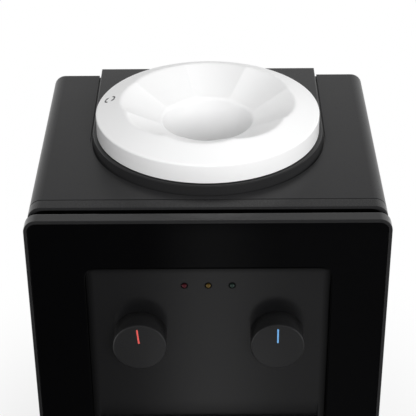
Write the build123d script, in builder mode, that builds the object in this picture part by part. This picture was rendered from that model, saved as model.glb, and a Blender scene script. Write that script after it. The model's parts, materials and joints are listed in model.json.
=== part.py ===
from build123d import *
import os
from math import cos, radians, sin, tan

os.makedirs("parts", exist_ok=True)

# Countertop water dispenser with a hot and a cold rotary tap, in millimetres.
# X runs across the front, -Y is the front and the table is at z = 0.

# Body
body_width = 310
body_top = 450
body_base = 12
body_round = 11.5
rear_y = 146.5
sheet = 2
seam_gap = 1.0

# Front: housing, frame strip, shadow gap, bezel, gloss panel and dished insert, from back to front
seam_y = -93.8
frame_front_y = -109.5
frame_wall = 3
bezel_back_y = -116.6
bezel_front_y = -129.0
bezel_width = 312.6
bezel_round = 11
gloss_y = -128.3
gloss_thick = 3
gloss_inset = 3
insert_width = 214.4
insert_top = body_top - 48.5
insert_bottom = 25
insert_round = 11
dish_depth = 3.5
dish_slope = 2
apron_y = gloss_y + dish_depth
apron_thick = 3
apron_back_y = apron_y + apron_thick

# Cup niche below the apron
niche_half = 100
niche_wall = 2.5
niche_floor = 37
niche_back_y = -35
roll_top = body_top - 197
roll_r = 50
ceiling = roll_top - roll_r

# Bottle seat and its raised deck, concentric on one vertical axis
seat_y = 20
seat_axis = Axis((0, seat_y, 0), (0, 0, 1))
deck_height = 8.3
deck_half = 107.8
deck_draft = 8
deck_groove = 1.4
deck_top = body_top + deck_height
deck_collar_r = 64
deck_collar_bottom = body_top - 16
seat_r = 103
seat_skirt = body_top + 9.2
seat_shoulder = body_top + 26.8
ridge_r = 77.6
ridge_z = body_top + 37.8
throat_r = 41.5
throat_z = body_top + 18
neck_step = body_top - 32
well_r = 36
well_floor = body_top - 78
seat_wall = 3
petals = 8
petal_turn = 16.6
bayonet_tabs = 3
tab_span = 40
lug_span = 20
collar_r = 60.6

# Taps and signal lamps
tap_x = 60.5
tap_z = body_top - 120.5
knob_r = 47.3 / 2
knob_face_y = -rear_y
shaft_r = 5
hot_turn = 5.5
spout_y = -80
spout_tip = ceiling - 14
lamp_x = 20.8
lamp_z = body_top - 69.3
lamp_r = 2.5

# Rear of the body
rear_panel_y = 136
rear_panel_thick = 2
rear_face_y = rear_panel_y + rear_panel_thick
cooler_z = body_top - 120
rear_spots = [(x, z) for x in (-147, 147) for z in (40, 165, 290, 415)]
switch_z = 96
hot_switch_x = 92
cold_switch_x = 118
inlet_x = 105
inlet_z = 52
drain_x = -72
drain_z = 40

# Tanks
cold_r = 60
cold_wall = 2.5
cold_bottom = body_top - 192
cold_top = body_top - 45
jacket_r = 74
hot_x = -72
hot_y = 56
hot_r = 45
hot_bottom = 66
hot_top = 176
hose_r = 5.5
hose_bore = 4.05
spigot_r = 4
spigot_bore = 2.5
screw_hole_r = 1.6


def facing(y):
    # A plane at depth y that looks forward, with local X across and local Y up.
    return Plane.XZ.offset(-y)


def arch(y, width, bottom, top, radius):
    # Rectangle standing at depth y with its two upper corners rounded.
    with BuildSketch(facing(y)) as outline:
        with Locations((0, (bottom + top) / 2)):
            Rectangle(width, top - bottom)
        fillet(outline.vertices().group_by(Axis.Y)[-1], radius)
    return outline.sketch


def plate(y, width, bottom, top, radius, x=0):
    # Rectangle standing at depth y with all four corners rounded.
    with BuildSketch(facing(y)) as outline:
        with Locations((x, (bottom + top) / 2)):
            RectangleRounded(width, top - bottom, radius)
    return outline.sketch


def disc(y, radius, x=0, z=0):
    # Circle standing at depth y.
    with BuildSketch(facing(y)) as outline:
        with Locations((x, z)):
            Circle(radius)
    return outline.sketch


def level(z, radius, x=0, y=seat_y):
    # Circle lying at height z.
    with BuildSketch(Plane.XY.offset(z)) as outline:
        with Locations((x, y)):
            Circle(radius)
    return outline.sketch


def slab(z, width, depth, x=0, y=0, radius=1):
    # Rounded rectangle lying at height z.
    with BuildSketch(Plane.XY.offset(z)) as outline:
        with Locations((x, y)):
            RectangleRounded(width, depth, radius)
    return outline.sketch


def sector(z, inner, outer, middle, span):
    # Slice of a flat ring about the seat axis at height z, centred on an angle in degrees.
    with BuildSketch(Plane((0, seat_y, z))) as outline:
        with BuildLine():
            far = CenterArc((0, 0), outer, middle - span / 2, span)
            near = CenterArc((0, 0), inner, middle - span / 2, span)
            Line(far @ 0, near @ 0)
            Line(far @ 1, near @ 1)
        make_face()
    return outline.sketch


def dee(z, half, rear):
    # Outline at height z: half a circle about the seat axis, and straight sides back to depth rear.
    with BuildSketch(Plane.XY.offset(z)) as outline:
        with Locations((0, seat_y)):
            Circle(half)
        with Locations((0, (seat_y + rear) / 2)):
            Rectangle(2 * half, rear - seat_y)
    return outline.sketch


def pipe(points, bend, outer, inner):
    # Tube along straight runs joined by arcs of radius bend.
    with BuildPart() as tube:
        with BuildLine() as route:
            FilletPolyline(*points, radius=bend)
        with BuildSketch(Plane(route.line @ 0, z_dir=route.line % 0)):
            Circle(outer)
            Circle(inner, mode=Mode.SUBTRACT)
        sweep()
    return tube.part


# Housing: one folded sheet over the top and both sides, with a D-shaped slot in its top
flange_width = 12
flange_bottom = body_base + 16
inner_width = body_width - 2 * sheet
with BuildPart() as main_housing:
    extrude(arch(rear_y, body_width, body_base, body_top, body_round), amount=rear_y - seam_y)
    hollow = arch(rear_y, inner_width, body_base - sheet, body_top - sheet, body_round - sheet)
    extrude(hollow, amount=rear_y - seam_y, mode=Mode.SUBTRACT)
    for inset, cut in ((sheet / 2, Mode.ADD), (flange_width, Mode.SUBTRACT)):
        flange = arch(
            rear_panel_y,
            body_width - 2 * inset,
            flange_bottom,
            body_top - inset,
            body_round - inset / 2,
        )
        extrude(flange, amount=sheet, mode=cut)
    for x, z in rear_spots:
        extrude(disc(rear_panel_y, screw_hole_r, x, z), amount=sheet, mode=Mode.SUBTRACT)
    extrude(dee(body_top, deck_half + deck_groove, rear_y + 1), amount=-sheet, mode=Mode.SUBTRACT)
main_housing.part.label = "main_housing"
export_step(main_housing.part, "parts/main_housing.step")

# Deck: a D-shaped plateau that rises through the slot in the housing's top, flanged below the sheet and
# along the rear edge, with a bayonet collar for the bottle seat
deck_wall = 3
deck_flange = 6
deck_edge = 1.2
ledge_depth = rear_y - rear_face_y - 0.6
tab_thick = 3
slot_z = body_top - sheet
with BuildPart() as bottle_deck:
    extrude(dee(slot_z, deck_half, rear_y), amount=sheet + deck_height, taper=deck_draft)
    fillet(bottle_deck.edges().group_by(Axis.Z)[-1], deck_edge)
    extrude(dee(slot_z, deck_half + deck_flange, rear_panel_y - sheet - 0.6), amount=-sheet)
    rear_ledge = slab(slot_z, 2 * (deck_half + deck_flange), ledge_depth, 0, rear_y - ledge_depth / 2)
    extrude(rear_ledge, amount=-sheet)
    room = dee(slot_z - sheet, deck_half - deck_wall - 1, rear_y - 2 * deck_wall)
    extrude(room, amount=2 * sheet + deck_height - deck_wall, mode=Mode.SUBTRACT)
    collar_height = deck_top - deck_collar_bottom
    extrude(level(deck_collar_bottom, deck_collar_r + deck_wall), amount=collar_height)
    extrude(level(deck_collar_bottom, deck_collar_r), amount=collar_height, mode=Mode.SUBTRACT)
    for n in range(bayonet_tabs):
        middle = 360 / bayonet_tabs * n
        tab = sector(deck_collar_bottom, collar_r + 0.6, deck_collar_r + 1, middle, tab_span)
        extrude(tab, amount=tab_thick)
bottle_deck.part.label = "bottle_deck"
export_step(bottle_deck.part, "parts/bottle_deck.step")

# Front frame: a strip of the body's outline with a web in front and a set-back pad that carries the bezel
pad_set_back = 10
pad_thick = 3
opening_half = 114
opening_bottom = 18
opening_top = insert_top + 8
pad_round = 14
pad_drop = 7
strip_edge = 2.5
with BuildPart() as front_frame:
    strip_back_y = seam_y - seam_gap
    strip_depth = strip_back_y - frame_front_y
    extrude(arch(strip_back_y, body_width, body_base, body_top, body_round), amount=strip_depth)
    fillet(front_frame.edges().group_by(Axis.Y)[0], strip_edge)
    room = arch(
        strip_back_y,
        body_width - 2 * frame_wall,
        body_base + frame_wall,
        body_top - frame_wall,
        body_round - frame_wall,
    )
    extrude(room, amount=strip_depth - frame_wall, mode=Mode.SUBTRACT)
    for inset, cut in ((pad_set_back, Mode.ADD), (pad_set_back + pad_thick, Mode.SUBTRACT)):
        pad = plate(
            frame_front_y,
            body_width - 2 * inset,
            body_base + inset - pad_drop,
            body_top - inset,
            pad_round - inset / 2,
        )
        extrude(pad, amount=frame_front_y - bezel_back_y, mode=cut)
    window = plate(seam_y, 2 * opening_half, opening_bottom, opening_top, 4)
    extrude(window, amount=seam_y - frame_front_y + 1, mode=Mode.SUBTRACT)
front_frame.part.label = "front_frame"
export_step(front_frame.part, "parts/front_frame.step")

# Bezel: a thick rounded plate with a pocket for the gloss panel and an opening for the insert
insert_gap = 0.25
bezel_front_edge = 1.0
bezel_back_edge = 1.2
with BuildPart() as front_bezel:
    slab_face = plate(bezel_back_y, bezel_width, body_base, body_top, bezel_round)
    extrude(slab_face, amount=bezel_back_y - bezel_front_y)
    fillet(front_bezel.edges().group_by(Axis.Y)[0], bezel_front_edge)
    fillet(front_bezel.edges().group_by(Axis.Y)[-1], bezel_back_edge)
    pocket_width = bezel_width - 2 * gloss_inset
    pocket = plate(
        gloss_y + gloss_thick,
        pocket_width,
        body_base + gloss_inset,
        body_top - gloss_inset,
        bezel_round - gloss_inset,
    )
    extrude(pocket, amount=10, mode=Mode.SUBTRACT)
    insert_hole = plate(
        bezel_back_y + 1,
        insert_width + 2 * insert_gap,
        insert_bottom - insert_gap,
        insert_top + insert_gap,
        insert_round,
    )
    extrude(insert_hole, amount=20, mode=Mode.SUBTRACT)
front_bezel.part.label = "front_bezel"
export_step(front_bezel.part, "parts/front_bezel.step")

# Gloss panel: a thin polished sheet that drops into the bezel's pocket
sheet_gap = 0.4
with BuildPart() as gloss_panel:
    face = plate(
        gloss_y + gloss_thick,
        pocket_width - 2 * sheet_gap,
        body_base + gloss_inset + sheet_gap,
        body_top - gloss_inset - sheet_gap,
        bezel_round - gloss_inset - sheet_gap,
    )
    extrude(face, amount=gloss_thick)
    extrude(insert_hole, amount=20, mode=Mode.SUBTRACT)
    chamfer(gloss_panel.edges().group_by(Axis.Y)[0], 0.3)
gloss_panel.part.label = "gloss_panel"
export_step(gloss_panel.part, "parts/gloss_panel.step")

# Insert: a dished one-piece apron that rolls back into the niche's ceiling and is flanged behind the bezel
insert_height = insert_top - insert_bottom
rim_wall = 3
flange_out = 6
flange_thick = 2.5
side_step = insert_width / 2 - dish_slope
boss_r = 4
board_reach = 30
board_y = -116
lip = 0.4
mouth_edge = 2
spout_hole_r = 8.3
with BuildPart() as tap_panel:
    block = plate(apron_back_y, insert_width, insert_bottom, insert_top, insert_round)
    extrude(block, amount=apron_back_y - gloss_y)
    with BuildSketch(facing(gloss_y)):
        with Locations((0, (insert_bottom + insert_top) / 2)):
            RectangleRounded(insert_width - 2 * lip, insert_height - 2 * lip, insert_round - lip)
    with BuildSketch(facing(apron_y)):
        with Locations((0, (insert_bottom + insert_top) / 2)):
            RectangleRounded(2 * side_step, insert_height - 2 * dish_slope, insert_round - dish_slope)
    loft(ruled=True, mode=Mode.SUBTRACT)
    back = bezel_back_y + flange_thick
    for wall, depth, start in ((0, back - apron_back_y, back), (-flange_out, flange_thick, back)):
        rim = plate(
            start,
            insert_width - 2 * wall,
            insert_bottom + wall,
            insert_top - wall,
            insert_round - wall / 2,
        )
        extrude(rim, amount=depth)
    core = plate(
        back,
        insert_width - 2 * rim_wall,
        insert_bottom + rim_wall,
        insert_top - rim_wall,
        insert_round - rim_wall,
    )
    extrude(core, amount=back - apron_back_y, mode=Mode.SUBTRACT)
    mouth_height = roll_top - niche_floor
    with BuildSketch(facing(back)):
        with Locations((0, niche_floor + mouth_height / 2)):
            Rectangle(2 * niche_half, mouth_height)
    extrude(amount=30, mode=Mode.SUBTRACT)
    mouth_edges = tap_panel.edges().filter_by(Axis.Z).group_by(Axis.Y)[1]
    fillet(mouth_edges.filter_by(lambda e: abs(abs(e.center().X) - niche_half) < 0.1), mouth_edge)
    with BuildSketch(Plane.YZ.offset(-niche_half)):
        with BuildLine():
            roll_y = apron_y + roll_r
            front = CenterArc((roll_y, roll_top), roll_r, 180, 90)
            behind = CenterArc((roll_y, roll_top), roll_r - apron_thick, 180, 90)
            Line(front @ 0, behind @ 0)
            Polyline(
                front @ 1,
                (niche_back_y, ceiling),
                (niche_back_y, ceiling + apron_thick),
                behind @ 1,
            )
        make_face()
    extrude(amount=2 * niche_half)
    for side in (-1, 1):
        extrude(disc(apron_back_y + 1, shaft_r + 1, side * tap_x, tap_z), amount=10, mode=Mode.SUBTRACT)
        with BuildSketch(Plane.XY.offset(ceiling - 1)):
            with Locations((side * tap_x, spout_y)):
                Circle(spout_hole_r)
        extrude(amount=10, mode=Mode.SUBTRACT)
    for n in (-1, 0, 1):
        extrude(disc(apron_back_y + 1, lamp_r + 0.1, n * lamp_x, lamp_z), amount=10, mode=Mode.SUBTRACT)
    for side in (-1, 1):
        extrude(disc(board_y, boss_r, side * board_reach, lamp_z), amount=board_y - apron_back_y)
tap_panel.part.label = "tap_panel"
export_step(tap_panel.part, "parts/tap_panel.step")

# Niche liner: side walls, back wall and floor behind the insert's mouth
with BuildPart() as niche_liner:
    outer_half = niche_half + niche_wall
    liner_back_y = niche_back_y + niche_wall
    liner_top = roll_top + 2
    liner_depth = liner_back_y - apron_back_y
    with BuildSketch(facing(liner_back_y)):
        with Locations((0, (niche_floor - niche_wall + liner_top) / 2)):
            Rectangle(2 * outer_half, liner_top - niche_floor + niche_wall)
        with Locations((0, (niche_floor + liner_top) / 2)):
            Rectangle(2 * niche_half, liner_top - niche_floor, mode=Mode.SUBTRACT)
    extrude(amount=liner_depth)
    with BuildSketch(facing(liner_back_y)):
        with Locations((0, (niche_floor + ceiling + apron_thick) / 2)):
            Rectangle(2 * niche_half, ceiling + apron_thick - niche_floor)
    extrude(amount=niche_wall)
niche_liner.part.label = "niche_liner"
export_step(niche_liner.part, "parts/niche_liner.step")

# Drip tray: an open box that slides out of the niche, with a ledge for the grille and a finger scoop
tray_half = niche_half - 2
tray_bottom = niche_floor + 0.4
tray_top = niche_floor + 31
tray_front_y = apron_y + 0.3
tray_back_y = niche_back_y - 3
tray_length = tray_back_y - tray_front_y
tray_middle_y = (tray_front_y + tray_back_y) / 2
tray_wall = 4
tray_floor = 2.5
tray_round = 5
tray_inner_round = 1.5
ledge = 2
grille_thick = 3
scoop_width = 76
scoop_deep = 1.8
with BuildPart() as drip_tray:
    block = slab(tray_bottom, 2 * tray_half, tray_length, 0, tray_middle_y, tray_round)
    extrude(block, amount=tray_top - tray_bottom)
    fillet(drip_tray.edges().group_by(Axis.Z)[-1], 1.2)
    sump = slab(
        tray_bottom + tray_floor,
        2 * (tray_half - tray_wall),
        tray_length - 2 * tray_wall,
        0,
        tray_middle_y,
        tray_inner_round,
    )
    extrude(sump, amount=50, mode=Mode.SUBTRACT)
    seat = slab(
        tray_top - grille_thick - 0.2,
        2 * (tray_half - tray_wall + ledge),
        tray_length - 2 * (tray_wall - ledge),
        0,
        tray_middle_y,
        tray_inner_round,
    )
    extrude(seat, amount=10, mode=Mode.SUBTRACT)
    scoop = plate(tray_front_y + scoop_deep, scoop_width, tray_bottom - 8, tray_bottom + 10, 6)
    extrude(scoop, amount=10, mode=Mode.SUBTRACT)
drip_tray.part.label = "drip_tray"
export_step(drip_tray.part, "parts/drip_tray.step")

# Drip grille: a slotted plate that lifts out of the tray
slot_pitch = 9
slot_rows = 2
slot_long = 31
slot_wide = 4.2
slots_across = 19
grille_play = 0.4
with BuildPart() as drip_grille:
    bars = slab(
        tray_top - grille_thick,
        2 * (tray_half - tray_wall + ledge - grille_play),
        tray_length - 2 * (tray_wall - ledge + grille_play),
        0,
        tray_middle_y,
        tray_round - grille_play,
    )
    extrude(bars, amount=grille_thick)
    with BuildSketch(Plane((0, tray_middle_y, tray_top))):
        with GridLocations(slot_pitch, slot_long + 6, slots_across, slot_rows):
            SlotOverall(slot_long, slot_wide, rotation=90)
    extrude(amount=-10, mode=Mode.SUBTRACT)
    fillet(drip_grille.faces().sort_by(Axis.Z)[-1].outer_wire().edges(), 0.8)
drip_grille.part.label = "drip_grille"
export_step(drip_grille.part, "parts/drip_grille.step")

# Base plate with a low rim, and four rubber feet screwed under it
foot_spots = [(-128, -80), (128, -80), (-128, 118), (128, 118)]
foot_r = 13
base_thick = 3
base_half = body_width / 2 - sheet - 0.2
base_length = rear_panel_y - seam_y - 0.4
base_middle_y = (rear_panel_y + seam_y) / 2
screw_r = 2
with BuildPart() as base_plate:
    extrude(slab(body_base, 2 * base_half, base_length, 0, base_middle_y, 3), amount=12)
    extrude(
        slab(body_base + base_thick, 2 * base_half - 4, base_length - 4, 0, base_middle_y, 2),
        amount=20,
        mode=Mode.SUBTRACT,
    )
    with Locations(*[(x, y, body_base + base_thick) for x, y in foot_spots]):
        Hole(screw_r + 0.1)
    with BuildSketch(Plane.XY.offset(body_base)):
        with Locations((90, 60)):
            with GridLocations(10, 34, 7, 2):
                SlotOverall(28, 4, rotation=90)
    extrude(amount=base_thick, mode=Mode.SUBTRACT)
base_plate.part.label = "base_plate"
export_step(base_plate.part, "parts/base_plate.step")

with BuildPart() as feet:
    for x, y in foot_spots:
        extrude(level(0, foot_r - 1, x, y), amount=body_base, taper=-5)
        extrude(level(-1, 4.6, x, y), amount=6, mode=Mode.SUBTRACT)
        extrude(level(0, screw_r + 0.1, x, y), amount=body_base, mode=Mode.SUBTRACT)
feet.part.label = "feet"
export_step(feet.part, "parts/feet.step")

with BuildPart() as foot_screws:
    for x, y in foot_spots:
        extrude(level(2.2, 3.8, x, y), amount=2.8)
        extrude(level(5, screw_r, x, y), amount=13)
foot_screws.part.label = "foot_screws"
export_step(foot_screws.part, "parts/foot_screws.step")

# Rear panel, set into the housing, with the cooler's grille, a lower vent and holes for what it carries
rear_width = body_width - 2 * sheet - 0.6
vent_rows = 13
vent_pitch = 7
vent_r = 47
switch_width = 15
switch_low, switch_high = switch_z - 11, switch_z + 11
inlet_width = 28
inlet_low, inlet_high = inlet_z - 10, inlet_z + 10
drain_r = 7
with BuildPart() as rear_panel:
    rear_bottom = body_base + base_thick + 0.3
    rear_plate = arch(rear_face_y, rear_width, rear_bottom, body_top - sheet - 0.3, body_round - sheet)
    extrude(rear_plate, amount=rear_panel_thick)
    with BuildSketch(facing(rear_face_y)):
        for n in range(vent_rows):
            rise = (n - (vent_rows - 1) / 2) * vent_pitch
            reach = 2 * (vent_r**2 - rise**2) ** 0.5
            for side in (-1, 1):
                with Locations((side * (reach / 4 + 1), cooler_z + rise)):
                    SlotOverall(reach / 2 - 3, 3.6)
    extrude(amount=rear_panel_thick, mode=Mode.SUBTRACT)
    with BuildSketch(facing(rear_face_y)):
        with Locations((0, 205)):
            with GridLocations(60, 9, 3, 5):
                SlotOverall(52, 4)
    extrude(amount=rear_panel_thick, mode=Mode.SUBTRACT)
    for x in (hot_switch_x, cold_switch_x):
        hole = plate(rear_face_y, switch_width + 0.2, switch_low - 0.1, switch_high + 0.1, 1, x)
        extrude(hole, amount=rear_panel_thick, mode=Mode.SUBTRACT)
    hole = plate(rear_face_y, inlet_width + 0.2, inlet_low - 0.1, inlet_high + 0.1, 2, inlet_x)
    extrude(hole, amount=rear_panel_thick, mode=Mode.SUBTRACT)
    hole = disc(rear_face_y, drain_r + 0.1, drain_x, drain_z)
    extrude(hole, amount=rear_panel_thick, mode=Mode.SUBTRACT)
    for x, z in rear_spots:
        extrude(disc(rear_face_y, screw_hole_r, x, z), amount=rear_panel_thick, mode=Mode.SUBTRACT)
rear_panel.part.label = "rear_panel"
export_step(rear_panel.part, "parts/rear_panel.step")

with BuildPart() as rear_screws:
    for x, z in rear_spots:
        extrude(disc(rear_face_y + 2, 3, x, z), amount=2)
        extrude(disc(rear_face_y, 1.5, x, z), amount=8)
    fillet(rear_screws.edges().group_by(Axis.Y)[-1], 0.8)
    for x, z in rear_spots:
        extrude(plate(rear_face_y + 2, 3.4, z - 0.4, z + 0.4, 0.2, x), amount=1, mode=Mode.SUBTRACT)
rear_screws.part.label = "rear_screws"
export_step(rear_screws.part, "parts/rear_screws.step")

# Bottle seat: a moulded funnel with a sloping rim, eight shallow petals, a neck bore and a well, and lugs
# below that lock under the deck's tabs
lug_gap = 0.5
lug_thick = 2.5
lug_top = deck_collar_bottom - lug_gap
skirt_wall = 2.6
bowl_rise = (ridge_z - throat_z) / (ridge_r - throat_r)
collar_top = throat_z + (collar_r - skirt_wall - throat_r) * bowl_rise - 1.8
with BuildPart() as bottle_seat:
    with BuildSketch(facing(seat_y)):
        with BuildLine():
            Polyline(
                (seat_r, seat_skirt),
                (seat_r, seat_shoulder),
                (ridge_r, ridge_z),
                (throat_r, throat_z),
                (throat_r, neck_step),
                (well_r, neck_step - 3),
                (well_r, well_floor),
                (9.1, well_floor),
                (9.1, well_floor - skirt_wall),
                (well_r + skirt_wall, well_floor - skirt_wall),
                (well_r + skirt_wall, neck_step - 4),
                (throat_r + skirt_wall, neck_step - 1),
                (throat_r + skirt_wall, throat_z - 2),
                (ridge_r, ridge_z - seat_wall - 1),
                (seat_r - skirt_wall, seat_shoulder - seat_wall),
                (seat_r - skirt_wall, seat_skirt),
                close=True,
            )
        make_face()
    revolve(axis=seat_axis)
    rings = bottle_seat.edges().filter_by(GeomType.CIRCLE)
    fillet(rings.filter_by(lambda e: abs(e.radius - seat_r) < 0.1).sort_by(Axis.Z)[-1], 2.2)
    fillet(rings.filter_by(lambda e: abs(e.radius - throat_r) < 0.1).sort_by(Axis.Z)[-1], 2.5)
    flute_r = 85
    flute_back = 36
    flute_long = 60
    flute_depth = 1.9
    throat_depth = 0.3
    slope = Vector(ridge_r - throat_r, 0, ridge_z - flute_depth - throat_z + throat_depth).normalized()
    lean = Vector(-slope.Z, 0, slope.X)
    ridge_point = Vector(ridge_r, 0, ridge_z - flute_depth)
    for n in range(petals):
        bearing = petal_turn + 22.5 + 360 / petals * n
        start = (ridge_point + lean * flute_r - slope * flute_back).rotate(Axis.Z, bearing)
        with BuildSketch(Plane(start + Vector(0, seat_y, 0), z_dir=slope.rotate(Axis.Z, bearing))):
            Circle(flute_r)
        extrude(amount=flute_long, mode=Mode.SUBTRACT)
    with BuildSketch(Plane.XY.offset(lug_top - lug_thick)):
        with Locations((0, seat_y)):
            Circle(collar_r)
            Circle(collar_r - skirt_wall, mode=Mode.SUBTRACT)
    extrude(amount=collar_top - lug_top + lug_thick)
    for n in range(bayonet_tabs):
        middle = 360 / bayonet_tabs * n + (tab_span + lug_span) / 2 + 3
        lug = sector(lug_top - lug_thick, collar_r - 1, deck_collar_r - 0.4, middle, lug_span)
        extrude(lug, amount=lug_thick)
bottle_seat.part.label = "bottle_seat"
export_step(bottle_seat.part, "parts/bottle_seat.step")

# Rubber ring between the deck and the seat's skirt
with BuildPart() as seat_gasket:
    extrude(level(deck_top, seat_r - 1.2), amount=seat_skirt - deck_top)
    extrude(level(deck_top, seat_r - 7), amount=10, mode=Mode.SUBTRACT)
seat_gasket.part.label = "seat_gasket"
export_step(seat_gasket.part, "parts/seat_gasket.step")

# Feed probe: a hollow spike on the well's floor that opens the bottle's cap, with four water windows
probe_r = 9
probe_top = neck_step - 2
with BuildPart() as feed_probe:
    with BuildSketch(facing(seat_y)):
        with BuildLine():
            Polyline(
                (0, probe_top),
                (3, probe_top - 1),
                (probe_r, probe_top - 20),
                (probe_r, well_floor + 3),
                (probe_r + 5, well_floor + 3),
                (probe_r + 5, well_floor),
                (probe_r, well_floor),
                (probe_r, well_floor - 14),
                (probe_r - 2, well_floor - 14),
                (probe_r - 2, probe_top - 22),
                (0, probe_top - 6),
                close=True,
            )
        make_face()
    revolve(axis=seat_axis)
    for plane in (Plane.XZ.offset(-seat_y - 20), Plane.YZ.offset(-20)):
        with BuildSketch(plane):
            with Locations((0 if plane.z_dir.X == 0 else seat_y, well_floor + 12)):
                SlotOverall(14, 5, rotation=90)
        extrude(amount=40, mode=Mode.SUBTRACT)
feed_probe.part.label = "feed_probe"
export_step(feed_probe.part, "parts/feed_probe.step")

# Cold tank with two spigots below, its lid, the baffle inside and the foam jacket round it
cold_outlet = (25, -10)
feed_outlet = (-20, 30)
spigot_long = 18
with BuildPart() as cold_tank:
    extrude(level(cold_bottom, cold_r), amount=cold_top - cold_bottom)
    fillet(cold_tank.edges().group_by(Axis.Z)[0], 6)
    extrude(level(cold_bottom + cold_wall, cold_r - cold_wall), amount=300, mode=Mode.SUBTRACT)
    for x, y in (cold_outlet, feed_outlet):
        extrude(level(cold_bottom - spigot_long, spigot_r, x, y), amount=spigot_long + 1)
        extrude(level(cold_bottom - spigot_long, spigot_bore, x, y), amount=40, mode=Mode.SUBTRACT)
cold_tank.part.label = "cold_tank"
export_step(cold_tank.part, "parts/cold_tank.step")

with BuildPart() as tank_lid:
    extrude(level(cold_top, cold_r + 2), amount=3)
    extrude(level(cold_top - 6, cold_r - cold_wall - 0.2), amount=6)
    extrude(level(cold_top - 6, cold_r - cold_wall - 2.4), amount=6, mode=Mode.SUBTRACT)
    extrude(level(cold_top, throat_r + skirt_wall + 1.4), amount=3, mode=Mode.SUBTRACT)
tank_lid.part.label = "tank_lid"
export_step(tank_lid.part, "parts/tank_lid.step")

baffle_top = cold_bottom + 60
with BuildPart() as baffle:
    inside_r = cold_r - cold_wall - 0.6
    baffle_foot = cold_bottom + cold_wall
    extrude(level(baffle_foot + 4, inside_r), amount=baffle_top - baffle_foot - 4)
    extrude(level(cold_bottom, inside_r - 2), amount=58, mode=Mode.SUBTRACT)
    with BuildSketch(Plane.XY.offset(baffle_top)):
        with Locations((0, seat_y)):
            with PolarLocations(38, 10):
                Circle(4)
    extrude(amount=-4, mode=Mode.SUBTRACT)
    with BuildSketch(Plane.XY.offset(cold_bottom)):
        with Locations((0, seat_y)):
            with PolarLocations(inside_r, 6):
                Rectangle(24, 18)
    extrude(amount=20, mode=Mode.SUBTRACT)
    extrude(level(baffle_foot, inside_r - 6), amount=baffle_top - baffle_foot)
    extrude(level(cold_bottom, inside_r - 8), amount=58, mode=Mode.SUBTRACT)
baffle.part.label = "baffle"
export_step(baffle.part, "parts/baffle.step")

block_half = 20
block_back_y = seat_y + cold_r + 17
with BuildPart() as cold_jacket:
    extrude(level(cold_bottom - 12, jacket_r), amount=cold_top - cold_bottom + 8)
    extrude(level(cold_bottom - 0.3, cold_r + 0.3), amount=300, mode=Mode.SUBTRACT)
    for x, y in (cold_outlet, feed_outlet):
        extrude(level(cold_bottom - 20, hose_r + 1.5, x, y), amount=40, mode=Mode.SUBTRACT)
    slot = plate(seat_y + jacket_r + 1, 2 * block_half + 1, cooler_z - 31, cooler_z + 31, 1)
    extrude(slot, amount=jacket_r, mode=Mode.SUBTRACT)
cold_jacket.part.label = "cold_jacket"
export_step(cold_jacket.part, "parts/cold_jacket.step")

# Thermoelectric cooler: cold block, module, finned heat sink and fan, stacked against the tank's back
with BuildPart() as cold_block:
    block = plate(block_back_y, 2 * block_half, cooler_z - 30, cooler_z + 30, 1)
    extrude(block, amount=block_back_y - seat_y - 50)
    extrude(level(cooler_z - 40, cold_r + 0.1), amount=80, mode=Mode.SUBTRACT)
cold_block.part.label = "cold_block"
export_step(cold_block.part, "parts/cold_block.step")

module_thick = 4
module_y = block_back_y + module_thick
with BuildPart() as peltier_module:
    extrude(plate(module_y, 40, cooler_z - 20, cooler_z + 20, 0.5), amount=module_thick)
peltier_module.part.label = "peltier_module"
export_step(peltier_module.part, "parts/peltier_module.step")

sink_base = 4
fin_count = 17
fin_high = 13
sink_back_y = module_y + sink_base + fin_high
with BuildPart() as heat_sink:
    extrude(plate(module_y + sink_base, 92, cooler_z - 46, cooler_z + 46, 1), amount=sink_base)
    with BuildSketch(facing(sink_back_y)):
        with Locations((0, cooler_z)):
            with GridLocations(5.6, 1, fin_count, 1):
                Rectangle(1.3, 92)
    extrude(amount=fin_high)
heat_sink.part.label = "heat_sink"
export_step(heat_sink.part, "parts/heat_sink.step")

fan_thick = 15
fan_y = sink_back_y + fan_thick
fan_blades = 7
hub_r = 19
with BuildPart() as fan_frame:
    extrude(plate(fan_y, 92, cooler_z - 46, cooler_z + 46, 5), amount=fan_thick)
    extrude(disc(fan_y, 43.5, 0, cooler_z), amount=fan_thick, mode=Mode.SUBTRACT)
    with BuildSketch(facing(fan_y)):
        with Locations((0, cooler_z)):
            with PolarLocations(31, 4, start_angle=45):
                Rectangle(28, 4)
            Circle(hub_r)
    extrude(amount=2)
    extrude(disc(fan_y - 2, 6, 0, cooler_z), amount=6)
    for x in (-41.2, 41.2):
        for z in (cooler_z - 41.2, cooler_z + 41.2):
            extrude(disc(fan_y, 2.2, x, z), amount=fan_thick, mode=Mode.SUBTRACT)
fan_frame.part.label = "fan_frame"
export_step(fan_frame.part, "parts/fan_frame.step")

with BuildPart() as fan_rotor:
    extrude(disc(fan_y - 2.6, hub_r, 0, cooler_z), amount=11)
    extrude(disc(fan_y - 2, 6.05, 0, cooler_z), amount=6.5, mode=Mode.SUBTRACT)
    blade_y = fan_y - 8.6
    for n in range(fan_blades):
        angle = 360 / fan_blades * n
        spoke = Plane(
            (cos(radians(angle)) * (hub_r - 1), blade_y, cooler_z + sin(radians(angle)) * (hub_r - 1)),
            x_dir=(0, 1, 0),
            z_dir=(cos(radians(angle)), 0, sin(radians(angle))),
        )
        with BuildSketch(spoke):
            Rectangle(1.4, 15, rotation=52)
        extrude(amount=42.3 - hub_r)
fan_rotor.part.label = "fan_rotor"
export_step(fan_rotor.part, "parts/fan_rotor.step")

with BuildPart() as fan_screws:
    for x in (-41.2, 41.2):
        for z in (cooler_z - 41.2, cooler_z + 41.2):
            extrude(disc(fan_y + 1.8, 3.6, x, z), amount=1.8)
            extrude(disc(fan_y, 1.9, x, z), amount=fan_thick - 0.2)
fan_screws.part.label = "fan_screws"
export_step(fan_screws.part, "parts/fan_screws.step")

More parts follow.
